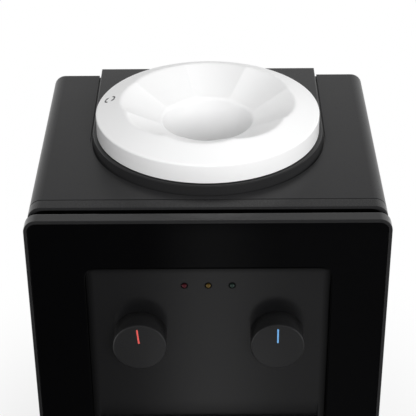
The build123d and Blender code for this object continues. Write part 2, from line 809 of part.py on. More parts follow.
# Hot tank on its cradle, with band heater, foam jacket and two thermostats on top
hot_wall = 1.2
hot_feed = (-92, 44)
hot_outlet = (-60.5, 66)
with BuildPart() as hot_tank:
    extrude(level(hot_bottom, hot_r, hot_x, hot_y), amount=hot_top - hot_bottom)
    fillet(hot_tank.edges(), 3)
    inside = level(hot_bottom + hot_wall, hot_r - hot_wall, hot_x, hot_y)
    extrude(inside, amount=hot_top - hot_bottom - 2 * hot_wall, mode=Mode.SUBTRACT)
    for x, y in (hot_feed, hot_outlet):
        extrude(level(hot_top - hot_wall, spigot_r, x, y), amount=16)
        extrude(level(hot_top - 10, spigot_bore, x, y), amount=40, mode=Mode.SUBTRACT)
    extrude(level(hot_bottom - 1, drain_r - 3, hot_x, hot_y), amount=4, mode=Mode.SUBTRACT)
hot_tank.part.label = "hot_tank"
export_step(hot_tank.part, "parts/hot_tank.step")

with BuildPart() as band_heater:
    extrude(level(92, hot_r + 3, hot_x, hot_y), amount=46)
    extrude(level(92, hot_r + 0.05, hot_x, hot_y), amount=46, mode=Mode.SUBTRACT)
    extrude(slab(92, 4, 20, hot_x, hot_y - hot_r, 0.5), amount=46, mode=Mode.SUBTRACT)
band_heater.part.label = "band_heater"
export_step(band_heater.part, "parts/band_heater.step")

with BuildPart() as hot_jacket:
    extrude(level(hot_bottom - 8, hot_r + 13, hot_x, hot_y), amount=hot_top - hot_bottom + 12)
    extrude(level(hot_bottom, hot_r + 3.4, hot_x, hot_y), amount=200, mode=Mode.SUBTRACT)
    extrude(level(hot_bottom - 10, 33, hot_x, hot_y), amount=20, mode=Mode.SUBTRACT)
hot_jacket.part.label = "hot_jacket"
export_step(hot_jacket.part, "parts/hot_jacket.step")

with BuildPart() as thermostats:
    for x, y in ((hot_x - 12, hot_y + 26), (hot_x + 24, hot_y - 14)):
        extrude(level(hot_top, 8.5, x, y), amount=6)
        extrude(level(hot_top + 6, 5, x, y), amount=4)
        for side in (-3, 3):
            extrude(slab(hot_top + 10, 1, 4, x + side, y, 0.3), amount=6)
thermostats.part.label = "thermostats"
export_step(thermostats.part, "parts/thermostats.step")

cradle_r = 32
base_face = body_base + base_thick
with BuildPart() as tank_cradle:
    extrude(level(base_face, cradle_r + 4, hot_x, hot_y), amount=2)
    extrude(level(base_face, cradle_r, hot_x, hot_y), amount=hot_bottom - base_face)
    extrude(level(0, cradle_r - 2, hot_x, hot_y), amount=200, mode=Mode.SUBTRACT)
    for turn in (0, 90):
        with BuildSketch(Plane.XY.offset(40)):
            with Locations((hot_x, hot_y)):
                Rectangle(120, 26, rotation=turn)
        extrude(amount=10, both=True, mode=Mode.SUBTRACT)
tank_cradle.part.label = "tank_cradle"
export_step(tank_cradle.part, "parts/tank_cradle.step")

# Drain pipe from the hot tank's floor to a spigot through the rear panel, closed by a pull-off cap
drain_end_y = rear_y - 2.4
with BuildPart() as drain_pipe:
    route = [
        (hot_x, hot_y, hot_bottom + 1),
        (hot_x, hot_y, drain_z),
        (hot_x, rear_panel_y - 4, drain_z),
    ]
    add(pipe(route, 12, 4, 2.8))
    extrude(disc(rear_panel_y - 0.1, 10, drain_x, drain_z), amount=4)
    extrude(disc(drain_end_y, drain_r, drain_x, drain_z), amount=drain_end_y - rear_panel_y + 4)
    socket_depth = drain_end_y - rear_panel_y + 3.5
    extrude(disc(drain_end_y, 4, drain_x, drain_z), amount=socket_depth, mode=Mode.SUBTRACT)
    extrude(disc(rear_panel_y + 1, 2.8, drain_x, drain_z), amount=10, mode=Mode.SUBTRACT)
drain_pipe.part.label = "drain_pipe"
export_step(drain_pipe.part, "parts/drain_pipe.step")

with BuildPart() as drain_cap:
    extrude(disc(rear_y - 0.1, drain_r + 2.6, drain_x, drain_z), amount=rear_y - 0.1 - rear_face_y - 1)
    extrude(disc(rear_y - 2.2, drain_r + 0.06, drain_x, drain_z), amount=20, mode=Mode.SUBTRACT)
    extrude(disc(rear_y - 1, 3.94, drain_x, drain_z), amount=6.3)
    fillet(drain_cap.edges().group_by(Axis.Y)[-1], 1)
drain_cap.part.label = "drain_cap"
export_step(drain_cap.part, "parts/drain_cap.step")

# Taps, one on each side: valve body and spout fixed behind the insert; spindle, knob and marker turning
body_r = 13
chamber_r = 8.5
flange_y = apron_back_y + 3
bonnet_back_y = -104
plug_front_y = -99.5
plug_back_y = -70
body_back_y = -66
hose_stub = 12
spout_flange_r = 11
roll_back = (roll_r - apron_thick) ** 2 - (apron_y + roll_r - spout_y + spout_flange_r) ** 2
spout_flange_z = roll_top - roll_back**0.5 + 0.4
knob_back_y = apron_y - 0.8
marker_long = 14.5
marker_wide = 1.5
marker_deep = 0.8
marker_edge = 4.5
knob_edge = 1.4
knob_wall = 2.6
turns = {"hot": hot_turn, "cold": 0}
sides = {"hot": -1, "cold": 1}
for tap, side in sides.items():
    x = side * tap_x
    axle = Axis((x, 0, tap_z), (0, -1, 0))
    with BuildPart() as tap_body:
        extrude(plate(flange_y, 38, tap_z - 15, tap_z + 15, 4, x), amount=3)
        extrude(disc(body_back_y, body_r, x, tap_z), amount=body_back_y - flange_y)
        extrude(level(tap_z - 24, 8.5, x, spout_y), amount=20)
        extrude(disc(plug_back_y + 0.3, chamber_r, x, tap_z), amount=60, mode=Mode.SUBTRACT)
        extrude(disc(body_back_y + hose_stub, spigot_r, x, tap_z), amount=hose_stub)
        extrude(disc(body_back_y + 20, spigot_bore, x, tap_z), amount=26, mode=Mode.SUBTRACT)
        extrude(level(tap_z - 40, 7.05, x, spout_y), amount=26, mode=Mode.SUBTRACT)
        extrude(level(tap_z - 15, 4, x, spout_y), amount=12, mode=Mode.SUBTRACT)
        for screw_side in (-1, 1):
            hole = disc(flange_y, 1.6, x + screw_side * 15.5, tap_z + 9)
            extrude(hole, amount=10, mode=Mode.SUBTRACT)
    tap_body.part.label = f"{tap}_tap_body"
    export_step(tap_body.part, f"parts/{tap}_tap_body.step")

    with BuildPart() as spout:
        extrude(level(spout_tip, 7, x, spout_y), amount=tap_z - 14.1 - spout_tip)
        extrude(level(spout_flange_z, spout_flange_r, x, spout_y), amount=3)
        extrude(level(spout_tip, 8, x, spout_y), amount=16)
        fillet(spout.edges().group_by(Axis.Z)[0], 1.2)
        extrude(level(spout_tip, 4.5, x, spout_y), amount=200, mode=Mode.SUBTRACT)
    spout.part.label = f"{tap}_spout"
    export_step(spout.part, f"parts/{tap}_spout.step")

    with BuildPart() as spindle:
        extrude(disc(plug_back_y, chamber_r - 0.06, x, tap_z), amount=plug_back_y - plug_front_y)
        extrude(disc(plug_front_y, shaft_r, x, tap_z), amount=plug_front_y + 140)
        extrude(disc(plug_back_y + 1, spigot_bore, x, tap_z), amount=13, mode=Mode.SUBTRACT)
        port = Plane((x, spout_y, tap_z), z_dir=Vector(side, 0, 0).rotate(axle, turns[tap]))
        with BuildSketch(port):
            Circle(spigot_bore)
        extrude(amount=10, mode=Mode.SUBTRACT)
    spindle.part.label = f"{tap}_spindle"
    export_step(spindle.part, f"parts/{tap}_spindle.step")

    slot_middle = Vector(0, 0, knob_r - marker_edge - marker_long / 2).rotate(Axis.Y, -turns[tap])
    slot_middle = slot_middle + Vector(x, knob_face_y, tap_z)
    across = Vector(1, 0, 0).rotate(Axis.Y, -turns[tap])
    slot = Plane(slot_middle, x_dir=across, z_dir=(0, -1, 0))
    with BuildPart() as knob:
        extrude(disc(knob_back_y, knob_r, x, tap_z), amount=knob_back_y - knob_face_y)
        fillet(knob.edges().group_by(Axis.Y)[0], knob_edge)
        extrude(disc(knob_back_y, knob_r - knob_wall, x, tap_z), amount=16.5, mode=Mode.SUBTRACT)
        extrude(disc(knob_back_y, 9, x, tap_z), amount=17)
        extrude(disc(knob_back_y + 1, shaft_r + 0.03, x, tap_z), amount=15.6, mode=Mode.SUBTRACT)
        with BuildSketch(slot):
            Rectangle(marker_wide, marker_long)
        extrude(amount=-marker_deep, mode=Mode.SUBTRACT)
    knob.part.label = f"{tap}_knob"
    export_step(knob.part, f"parts/{tap}_knob.step")

    with BuildPart() as marker:
        with BuildSketch(slot):
            Rectangle(marker_wide, marker_long)
        extrude(amount=-marker_deep)
    marker.part.label = f"{tap}_marker"
    export_step(marker.part, f"parts/{tap}_marker.step")

with BuildPart() as tap_bonnets:
    for side in sides.values():
        bush = disc(bonnet_back_y, chamber_r - 0.02, side * tap_x, tap_z)
        extrude(bush, amount=bonnet_back_y - flange_y + 3)
        bore = disc(bonnet_back_y, shaft_r + 0.06, side * tap_x, tap_z)
        extrude(bore, amount=20, mode=Mode.SUBTRACT)
tap_bonnets.part.label = "tap_bonnets"
export_step(tap_bonnets.part, "parts/tap_bonnets.step")

seal_r = 1.5
with BuildPart() as spindle_seals:
    for side in sides.values():
        seal_x = side * tap_x + shaft_r + 0.06 + seal_r
        with BuildSketch(Plane.XY.offset(tap_z)):
            with Locations((seal_x, (bonnet_back_y + plug_front_y) / 2)):
                Circle(seal_r)
        revolve(axis=Axis((side * tap_x, 0, tap_z), (0, 1, 0)))
spindle_seals.part.label = "spindle_seals"
export_step(spindle_seals.part, "parts/spindle_seals.step")

# Signal lamps: three domed lenses through the apron, on a small board held by two bosses
for n, colour in ((-1, "red"), (0, "amber"), (1, "green")):
    with BuildPart() as lamp:
        with BuildSketch(facing(board_y)):
            with Locations((n * lamp_x, lamp_z)):
                Circle(lamp_r)
        extrude(amount=board_y - apron_y - 0.4)
        fillet(lamp.edges().group_by(Axis.Y)[0], 0.2)
        with Locations((n * lamp_x, apron_y - 0.4, lamp_z)):
            Sphere(lamp_r - 0.2)
        extrude(disc(apron_back_y + 1.1, lamp_r + 0.6, n * lamp_x, lamp_z), amount=1)
    lamp.part.label = f"{colour}_lamp"
    export_step(lamp.part, f"parts/{colour}_lamp.step")

with BuildPart() as lamp_board:
    extrude(plate(board_y + 1.6, 72, lamp_z - 7, lamp_z + 7, 1), amount=1.6)
    extrude(plate(board_y + 7, 12, lamp_z - 5, lamp_z + 5, 0.5), amount=5.5)
    for side in (-1, 1):
        extrude(disc(board_y + 1.6, 1.5, side * board_reach, lamp_z), amount=1.6, mode=Mode.SUBTRACT)
lamp_board.part.label = "lamp_board"
export_step(lamp_board.part, "parts/lamp_board.step")

# Silicone hoses: cold tank to hot tank, and each tank to its tap
turn_y = -40
hose_level = cold_bottom - 30
hose_start = cold_bottom - 12.3
stub_end_y = body_back_y + 2
with BuildPart() as feed_hose:
    path = [
        (*feed_outlet, hose_start),
        (*feed_outlet, hose_level - 14),
        (*hot_feed, hose_level - 14),
        (*hot_feed, hot_top + 3),
    ]
    add(pipe(path, 12, hose_r, hose_bore))
feed_hose.part.label = "feed_hose"
export_step(feed_hose.part, "parts/feed_hose.step")

with BuildPart() as hot_hose:
    path = [
        (*hot_outlet, hot_top + 3),
        (*hot_outlet, hose_level),
        (-tap_x, turn_y, hose_level),
        (-tap_x, turn_y, tap_z),
        (-tap_x, stub_end_y, tap_z),
    ]
    add(pipe(path, 11, hose_r, hose_bore))
hot_hose.part.label = "hot_hose"
export_step(hot_hose.part, "parts/hot_hose.step")

with BuildPart() as cold_hose:
    path = [
        (*cold_outlet, hose_start),
        (*cold_outlet, hose_level),
        (tap_x, turn_y, hose_level),
        (tap_x, turn_y, tap_z),
        (tap_x, stub_end_y, tap_z),
    ]
    add(pipe(path, 11, hose_r, hose_bore))
cold_hose.part.label = "cold_hose"
export_step(cold_hose.part, "parts/cold_hose.step")

# Power supply board on standoffs, with its transformer
board_x = 84
board_mid_y = 60
board_z = 34
with BuildPart() as power_board:
    extrude(slab(board_z, 84, 64, board_x, board_mid_y, 2), amount=1.6)
    with BuildSketch(Plane.XY.offset(body_base + base_thick)):
        with Locations((board_x, board_mid_y)):
            with GridLocations(74, 54, 2, 2):
                Circle(3.5)
    extrude(amount=board_z - body_base - base_thick)
    for x, y, r, h in ((55, 44, 8, 26), (55, 66, 6, 20), (72, 38, 5, 14)):
        extrude(level(board_z + 1.6, r, x, y), amount=h)
    extrude(slab(board_z + 1.6, 20, 16, 112, 40, 0.5), amount=15)
power_board.part.label = "power_board"
export_step(power_board.part, "parts/power_board.step")

with BuildPart() as transformer:
    extrude(slab(board_z + 1.6, 34, 28, 92, 70, 1), amount=26)
    extrude(slab(board_z + 6, 24, 36, 92, 70, 1), amount=17)
transformer.part.label = "transformer"
export_step(transformer.part, "parts/transformer.step")

# Rear switches: two housings with rockers that turn about X, one for heating and one for cooling
rocker_half = 9.2
rocker_tilt = 9
rocker_y = rear_face_y - 1.5
with BuildPart() as switch_housings:
    for x in (hot_switch_x, cold_switch_x):
        extrude(plate(rear_face_y, switch_width, switch_low, switch_high, 1, x), amount=16)
        rim = plate(rear_face_y + 1.6, switch_width + 4, switch_low - 2, switch_high + 2, 1.5, x)
        extrude(rim, amount=1.6)
        mouth = plate(rear_face_y + 2, switch_width - 2.4, switch_low + 0.9, switch_high - 0.9, 0.4, x)
        extrude(mouth, amount=13, mode=Mode.SUBTRACT)
        for z in (switch_z - 7, switch_z, switch_z + 7):
            extrude(plate(rear_face_y - 16, 5, z - 0.4, z + 0.4, 0.2, x), amount=8)
switch_housings.part.label = "switch_housings"
export_step(switch_housings.part, "parts/switch_housings.step")

for name, x in (("heat_rocker", hot_switch_x), ("cool_rocker", cold_switch_x)):
    with BuildPart() as rocker:
        rise = rocker_half * tan(radians(rocker_tilt))
        with BuildSketch(Plane.YZ.offset(x - switch_width / 2 + 1.6)):
            with BuildLine():
                Polyline(
                    (rocker_y + 0.6, switch_z),
                    (rocker_y + 0.6 + 2 * rise, switch_z + rocker_half),
                    (rocker_y - 4, switch_z + rocker_half - 1.6),
                    (rocker_y - 8, switch_z + 2),
                    (rocker_y - 8, switch_z - 4),
                    (rocker_y - 3, switch_z - rocker_half),
                    (rocker_y + 0.6, switch_z - rocker_half),
                    close=True,
                )
            make_face()
        extrude(amount=switch_width - 3.2)
    rocker.part.label = name
    export_step(rocker.part, f"parts/{name}.step")

# Mains inlet: a recessed three-pin appliance socket
with BuildPart() as inlet_socket:
    extrude(plate(rear_face_y, inlet_width, inlet_low, inlet_high, 2, inlet_x), amount=20)
    extrude(plate(rear_face_y + 2, inlet_width + 20, inlet_low - 2, inlet_high + 2, 3, inlet_x), amount=2)
    recess = plate(rear_face_y + 3, inlet_width - 4, inlet_low + 2, inlet_high - 2, 3, inlet_x)
    extrude(recess, amount=19, mode=Mode.SUBTRACT)
    for side in (-1, 1):
        extrude(disc(rear_face_y + 3, 1.7, inlet_x + side * 19, inlet_z), amount=4, mode=Mode.SUBTRACT)
inlet_socket.part.label = "inlet_socket"
export_step(inlet_socket.part, "parts/inlet_socket.step")

with BuildPart() as inlet_pins:
    for across, up in ((-7, -2), (0, 3.2), (7, -2)):
        blade = plate(rear_face_y - 3, 2, inlet_z + up - 2, inlet_z + up + 2, 0.4, inlet_x + across)
        extrude(blade, amount=13)
inlet_pins.part.label = "inlet_pins"
export_step(inlet_pins.part, "parts/inlet_pins.step")
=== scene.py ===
import bpy
import bmesh
import json
import numpy as np
from math import cos, pi, radians, sin
from mathutils import Matrix, Vector


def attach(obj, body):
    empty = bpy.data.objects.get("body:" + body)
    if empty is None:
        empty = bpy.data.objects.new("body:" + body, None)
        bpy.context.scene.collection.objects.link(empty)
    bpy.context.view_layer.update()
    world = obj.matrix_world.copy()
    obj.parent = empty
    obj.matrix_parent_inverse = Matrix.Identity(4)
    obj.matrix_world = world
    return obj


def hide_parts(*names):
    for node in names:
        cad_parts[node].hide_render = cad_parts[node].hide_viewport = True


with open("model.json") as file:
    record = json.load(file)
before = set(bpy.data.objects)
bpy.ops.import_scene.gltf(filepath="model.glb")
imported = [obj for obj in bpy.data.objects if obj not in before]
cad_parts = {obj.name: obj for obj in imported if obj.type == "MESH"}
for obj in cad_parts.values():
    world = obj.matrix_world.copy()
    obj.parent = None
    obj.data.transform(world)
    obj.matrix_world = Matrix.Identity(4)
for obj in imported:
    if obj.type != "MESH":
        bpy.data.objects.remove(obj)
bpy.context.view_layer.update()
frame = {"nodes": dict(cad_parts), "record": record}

scene = bpy.context.scene
mm = 0.001
print("frame loaded:", len(frame["nodes"]), "nodes")


# The insert's outline in millimetres: its shape and its finish, with the painted shade that darkens its rim,
# both follow it
insert = {
    "half": 107.2,
    "low": 25.0,
    "high": 401.5,
    "round": 11.0,
}


# Finishes: each is one procedural material on Object coordinates
def addNode(tree, kind, inputs=(), **settings):  # one shader node with its settings and its own input values
    node = tree.nodes.new(kind)
    for key, value in settings.items():
        setattr(node, key, value)
    for key, value in dict(inputs).items():
        node.inputs[key].default_value = value
    return node


def fadeToRim(tree, place, rim, width):
    # the mask of the painted rim shade: 0 at the edge of an upright rectangle, rising to 1 over a width
    # inside it, by the distance min(half - |x|, z - low, high - z) in millimetres
    half, low, high = rim["half"], rim["low"], rim["high"]
    axes = addNode(tree, "ShaderNodeSeparateXYZ")
    tree.links.new(place, axes.inputs[0])
    side = addNode(tree, "ShaderNodeMath", operation="ABSOLUTE")
    tree.links.new(axes.outputs["X"], side.inputs[0])
    nearest = None
    walls = ((side.outputs[0], -1, half), (axes.outputs["Z"], 1, -low), (axes.outputs["Z"], -1, high))
    for source, scale, shift in walls:
        gap = addNode(tree, "ShaderNodeMath", {1: scale / mm, 2: shift}, operation="MULTIPLY_ADD")
        tree.links.new(source, gap.inputs[0])
        if nearest:
            least = addNode(tree, "ShaderNodeMath", operation="MINIMUM")
            tree.links.new(nearest, least.inputs[0])
            tree.links.new(gap.outputs[0], least.inputs[1])
            nearest = least.outputs[0]
        else:
            nearest = gap.outputs[0]
    fade = addNode(tree, "ShaderNodeMapRange", {"From Min": 0.0, "From Max": width})
    tree.links.new(nearest, fade.inputs["Value"])
    return fade.outputs["Result"]


# What a finish has unless its own look says otherwise
plainLook = {
    "tint": 0.08,  # how far the colour swings about its middle, as a share
    "spread": 0.08,  # and the roughness, as a level
    "grain": 0.0012,  # size of the fine noise in metres
    "patch": 0.045,  # and of the broad noise
}


def makeFinish(name, ownLook):
    # colour = middle * (1 + tint (2 broad - 1)) and roughness = middle + spread (2 fine - 1), where broad and
    # fine are noises from 0 to 1; relief is the fine noise's height, or that of rounded cells
    look = {**plainLook, **ownLook}
    material = bpy.data.materials.new(name)
    material.use_nodes = True
    tree = material.node_tree
    link = tree.links.new
    shader = tree.nodes["Principled BSDF"]
    place = addNode(tree, "ShaderNodeTexCoord").outputs["Object"]
    stretch = look.get("stretch")
    if stretch:  # brushed metal and moulding flow: the noise is drawn out along one axis
        mapping = addNode(tree, "ShaderNodeMapping")
        mapping.inputs["Scale"].default_value = stretch
        link(place, mapping.inputs["Vector"])
        place = mapping.outputs["Vector"]
    grain = {"Scale": 1 / look["grain"], "Detail": 3.0, "Roughness": 0.55}
    fine = addNode(tree, "ShaderNodeTexNoise", grain)
    broad = addNode(tree, "ShaderNodeTexNoise", {"Scale": 1 / look["patch"], "Detail": 2.0})
    link(place, fine.inputs["Vector"])
    link(place, broad.inputs["Vector"])
    pattern = fine.outputs["Fac"]
    if look.get("cells"):  # foam and cast skins: rounded cells over the noise
        cell = addNode(tree, "ShaderNodeTexVoronoi", {"Scale": 1 / look["cells"]}, feature="SMOOTH_F1")
        link(place, cell.inputs["Vector"])
        pattern = cell.outputs["Distance"]
    colour, tint = look["colour"], look["tint"]
    mix = addNode(tree, "ShaderNodeMix", data_type="RGBA")
    mix.inputs[6].default_value = (*[channel * (1 - tint) for channel in colour], 1)
    mix.inputs[7].default_value = (*[min(1, channel * (1 + tint)) for channel in colour], 1)
    link(broad.outputs["Fac"], mix.inputs["Factor"])
    link(mix.outputs[2], shader.inputs["Base Color"])
    rough, spread = look["rough"], look["spread"]
    limits = {"To Min": max(0.01, rough - spread), "To Max": min(1, rough + spread)}
    span = addNode(tree, "ShaderNodeMapRange", limits)
    link(fine.outputs["Fac"], span.inputs["Value"])
    link(span.outputs["Result"], shader.inputs["Roughness"])
    if look.get("rim"):  # painted shade of the insert's rim: towards the edge the colour darkens to near black, and the clear coat thins out there
        inside = fadeToRim(tree, place, look["rim"], look["rimFade"])
        link(inside, shader.inputs["Coat Weight"])
        shade = addNode(tree, "ShaderNodeMix", {6: (*look["rimColour"], 1)}, data_type="RGBA")
        link(inside, shade.inputs["Factor"])
        link(mix.outputs[2], shade.inputs[7])
        link(shade.outputs[2], shader.inputs["Base Color"])
    if look["relief"]:
        bump = addNode(tree, "ShaderNodeBump", {"Strength": 1.0, "Distance": look["relief"] * mm})
        link(pattern, bump.inputs["Height"])
        link(bump.outputs["Normal"], shader.inputs["Normal"])
    for socket, value in look.get("shader", {}).items():
        shader.inputs[socket].default_value = value
    return material


finishes = {
    "housingPaint": {
        "colour": (0.024, 0.024, 0.0248), "rough": 0.3, "grain": 0.0011, "relief": 0.008,
        "shader": {"Specular IOR Level": 0.17},
    },
    "framePlastic": {
        "colour": (0.018, 0.018, 0.0186), "rough": 0.26, "grain": 0.0009, "relief": 0.006,
        "shader": {"Specular IOR Level": 0.22},
    },
    "bezelPlastic": {
        "colour": (0.014, 0.014, 0.0145), "rough": 0.2, "spread": 0.03, "grain": 0.0009, "relief": 0.002,
        "shader": {"Specular IOR Level": 0.46},
    },
    "glossBlack": {
        "colour": (0.0012, 0.0012, 0.0014), "rough": 0.05, "spread": 0.015, "relief": 0, "patch": 0.02,
        "shader": {"Specular IOR Level": 0.1},
    },
    "charcoalPlastic": {
        "colour": (0.006, 0.006, 0.0064), "rough": 0.2, "spread": 0.03, "grain": 0.0008, "relief": 0.0015,
        # painted shade at the insert's rim: over 8 mm its colour darkens to near black towards the edge, and
        # the clear coat thins out there
        "rim": insert, "rimFade": 8.0, "rimColour": (0.0008, 0.0008, 0.0009),
        "shader": {"Specular IOR Level": 0.12, "Coat Roughness": 0.2, "Coat IOR": 1.5},
    },
    "deckPlastic": {
        "colour": (0.020, 0.020, 0.0207), "rough": 0.3, "grain": 0.0010, "relief": 0.008,
        "shader": {"Specular IOR Level": 0.27},
    },
    "blackRubber": {"colour": (0.008, 0.008, 0.008), "rough": 0.7, "grain": 0.0016, "relief": 0.012},
    "zincSteel": {
        "colour": (0.55, 0.56, 0.58), "rough": 0.3, "grain": 0.0010, "relief": 0.005,
        "shader": {"Metallic": 1.0},
    },
    "whitePlastic": {
        "colour": (0.98, 0.98, 0.981), "tint": 0.01, "rough": 0.3, "spread": 0.05, "grain": 0.0014,
        "relief": 0.003,
        "shader": {"Subsurface Weight": 0.05, "Subsurface Radius": (1, 1, 1), "Subsurface Scale": 0.004},
    },
    "naturalPlastic": {
        "colour": (0.72, 0.71, 0.67), "tint": 0.03, "rough": 0.4, "grain": 0.0016, "relief": 0.006,
    },
    "whiteFoam": {"colour": (0.8, 0.8, 0.79), "tint": 0.04, "rough": 0.75, "cells": 0.003, "relief": 0.25},
    "bareAluminium": {
        "colour": (0.72, 0.73, 0.74), "rough": 0.34, "grain": 0.0006, "stretch": (12, 1, 1),
        "relief": 0.006,
        "shader": {"Metallic": 1.0},
    },
    "whiteCeramic": {
        "colour": (0.83, 0.82, 0.8), "tint": 0.02, "rough": 0.55, "grain": 0.0008, "relief": 0.004,
    },
    "blackPlastic": {"colour": (0.014, 0.014, 0.015), "rough": 0.45, "grain": 0.0009, "relief": 0.008},
    "stainless": {
        "colour": (0.6, 0.6, 0.61), "rough": 0.24, "grain": 0.0006, "stretch": (1, 1, 14), "relief": 0.005,
        "shader": {"Metallic": 1.0},
    },
    "heaterBand": {
        "colour": (0.46, 0.43, 0.38), "rough": 0.38, "grain": 0.0012, "relief": 0.012,
        "shader": {"Metallic": 1.0},
    },
    "clearSilicone": {
        "colour": (0.82, 0.83, 0.82), "tint": 0.03, "rough": 0.34, "grain": 0.002, "relief": 0.006,
        "shader": {"Transmission Weight": 0.45, "IOR": 1.41},
    },
    "spoutPlastic": {"colour": (0.012, 0.012, 0.013), "rough": 0.3, "grain": 0.0010, "relief": 0.004},
    "brassFittings": {
        "colour": (0.72, 0.52, 0.25), "rough": 0.28, "grain": 0.0008, "relief": 0.006,
        "shader": {"Metallic": 1.0},
    },
    "knobPlastic": {"colour": (0.0115, 0.0115, 0.012), "rough": 0.3, "grain": 0.0008, "relief": 0.004},
    "redMarker": {
        "colour": (0.78, 0.10, 0.085), "tint": 0.04, "rough": 0.4, "grain": 0.0006, "relief": 0.003,
    },
    "blueMarker": {
        "colour": (0.15, 0.40, 0.76), "tint": 0.04, "rough": 0.4, "grain": 0.0006, "relief": 0.003,
    },
    "redLens": {
        "colour": (0.03, 0.004, 0.006), "rough": 0.1, "spread": 0.03, "grain": 0.0008, "relief": 0.001,
        "shader": {"Specular Tint": (1.0, 0.45, 0.5, 1), "IOR": 1.65},
    },
    "amberLens": {
        "colour": (0.05, 0.03, 0.006), "rough": 0.1, "spread": 0.03, "grain": 0.0008, "relief": 0.001,
        "shader": {"Specular Tint": (1.0, 0.8, 0.4, 1), "IOR": 1.85},
    },
    "greenLens": {
        "colour": (0.010, 0.017, 0.014), "rough": 0.1, "spread": 0.03, "grain": 0.0008, "relief": 0.001,
        "shader": {"Specular Tint": (0.8, 1.0, 0.95, 1), "IOR": 1.6},
    },
    "circuitBoard": {
        "colour": (0.02, 0.13, 0.05), "tint": 0.3, "rough": 0.35, "grain": 0.0009, "patch": 0.006,
        "relief": 0.02,
    },
    "redRocker": {"colour": (0.45, 0.02, 0.02), "rough": 0.3, "grain": 0.0009, "relief": 0.003},
    "greenRocker": {"colour": (0.02, 0.25, 0.07), "rough": 0.3, "grain": 0.0009, "relief": 0.003},
    "trayPlastic": {"colour": (0.011, 0.011, 0.012), "rough": 0.4, "grain": 0.0010, "relief": 0.006},
    "grillePlastic": {"colour": (0.012, 0.012, 0.013), "rough": 0.38, "grain": 0.0009, "relief": 0.006},
    # painted shade: near-black matt for the sheet laid in the shadow gap between the frame strip and the
    # bezel
    "shadowBlack": {
        "colour": (0.0008, 0.0008, 0.0008), "rough": 0.9, "grain": 0.0012, "relief": 0.01,
        "shader": {"Specular IOR Level": 0.02},
    },
    "symbolInk": {"colour": (0.03, 0.03, 0.033), "rough": 0.5, "grain": 0.0008, "relief": 0.003},
}
finish = {name: makeFinish(name, look) for name, look in finishes.items()}


def camelCase(slotName):  # housing_paint becomes housingPaint
    head, *rest = slotName.split("_")
    return head + "".join(word.capitalize() for word in rest)


slotOf = {part["node"]: part["material_slot"] for part in frame["record"]["subparts"]}
for node, piece in frame["nodes"].items():
    piece.data.materials.clear()
    piece.data.materials.append(finish[camelCase(slotOf[node])])
print("finishes made:", len(finish))


# Mesh helpers: every piece is one or more closed grids of points, worked out as whole arrays
arcSteps = 12
guardStep = 0.12  # a point this far beyond an arc's end keeps the flat's shading flat
guardShare = 0.4  # but no further than this share of the arc's radius
leastRound = 0.05
weldReach = 2e-5  # in metres


def gridFaces(rows, cols, wrapRows=False, wrapCols=False):
    # quads over a grid: corner (i, j) joins (i+1, j), (i+1, j+1) and (i, j+1), and wraps where a side closes
    index = np.arange(rows * cols).reshape(rows, cols)
    down = np.roll(index, -1, 0)
    over = np.roll(index, -1, 1)
    both = np.roll(down, -1, 1)
    lastRow = rows if wrapRows else rows - 1
    lastCol = cols if wrapCols else cols - 1
    return np.stack([index, down, both, over], -1)[:lastRow, :lastCol].reshape(-1, 4)


def makePiece(name, grids, body, slotName, stands=(), look=None, sharp=38):
    # grids of points in millimetres, each (points, rows close, columns close), welded where they meet
    corners, faces, start = [], [], 0
    for points, wrapRows, wrapCols in grids:
        rows, cols = points.shape[:2]
        corners.append(points.reshape(-1, 3) * mm)
        faces.append(gridFaces(rows, cols, wrapRows, wrapCols) + start)
        start += rows * cols
    mesh = bpy.data.meshes.new(name)
    mesh.from_pydata(np.concatenate(corners).tolist(), [], np.concatenate(faces).tolist())
    shape = bmesh.new()
    shape.from_mesh(mesh)
    bmesh.ops.remove_doubles(shape, verts=shape.verts, dist=weldReach)
    bmesh.ops.dissolve_degenerate(shape, edges=shape.edges, dist=weldReach / 4)
    bmesh.ops.recalc_face_normals(shape, faces=shape.faces)
    shape.to_mesh(mesh)
    shape.free()
    mesh.polygons.foreach_set("use_smooth", np.ones(len(mesh.polygons), bool))
    mesh.set_sharp_from_angle(angle=radians(sharp))
    mesh.materials.append(finish[look or camelCase(slotName)])
    piece = bpy.data.objects.new(name, mesh)
    scene.collection.objects.link(piece)
    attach(piece, body)
    if stands:
        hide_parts(*stands)


def uprightRings(halfWidth, low, high, radius, depth, footRadius=None, steps=arcSteps):
    # rounded rectangles standing upright, one a row: corner centre + radius * (cos a, sin a), from below
    # right upward, and a guard point beyond each end of an arc, along its tangent (-sin a, cos a)
    turn = np.concatenate([[0], np.linspace(0, pi / 2, steps + 1), [pi / 2]])
    past = np.tile(np.concatenate([[-guardStep], np.zeros(steps + 1), [guardStep]]), 4)
    angle = np.concatenate([turn - pi / 2, turn, turn + pi / 2, turn + pi])
    side = np.repeat([1, 1, -1, -1], steps + 3)
    upper = np.repeat([0, 1, 1, 0], steps + 3)
    rows = [np.atleast_1d(np.asarray(value, float)) for value in (halfWidth, low, high, radius, depth)]
    count = max(map(len, rows))
    halfWidth, low, high, radius, depth = (np.broadcast_to(value, count)[:, None] for value in rows)
    bend = radius if footRadius is None else np.where(upper > 0, radius, footRadius)
    x = side * (halfWidth - bend) + bend * np.cos(angle) - past * np.sin(angle)
    z = np.where(upper > 0, high - bend, low + bend) + bend * np.sin(angle) + past * np.cos(angle)
    return np.stack([x, depth + 0 * x, z], -1)


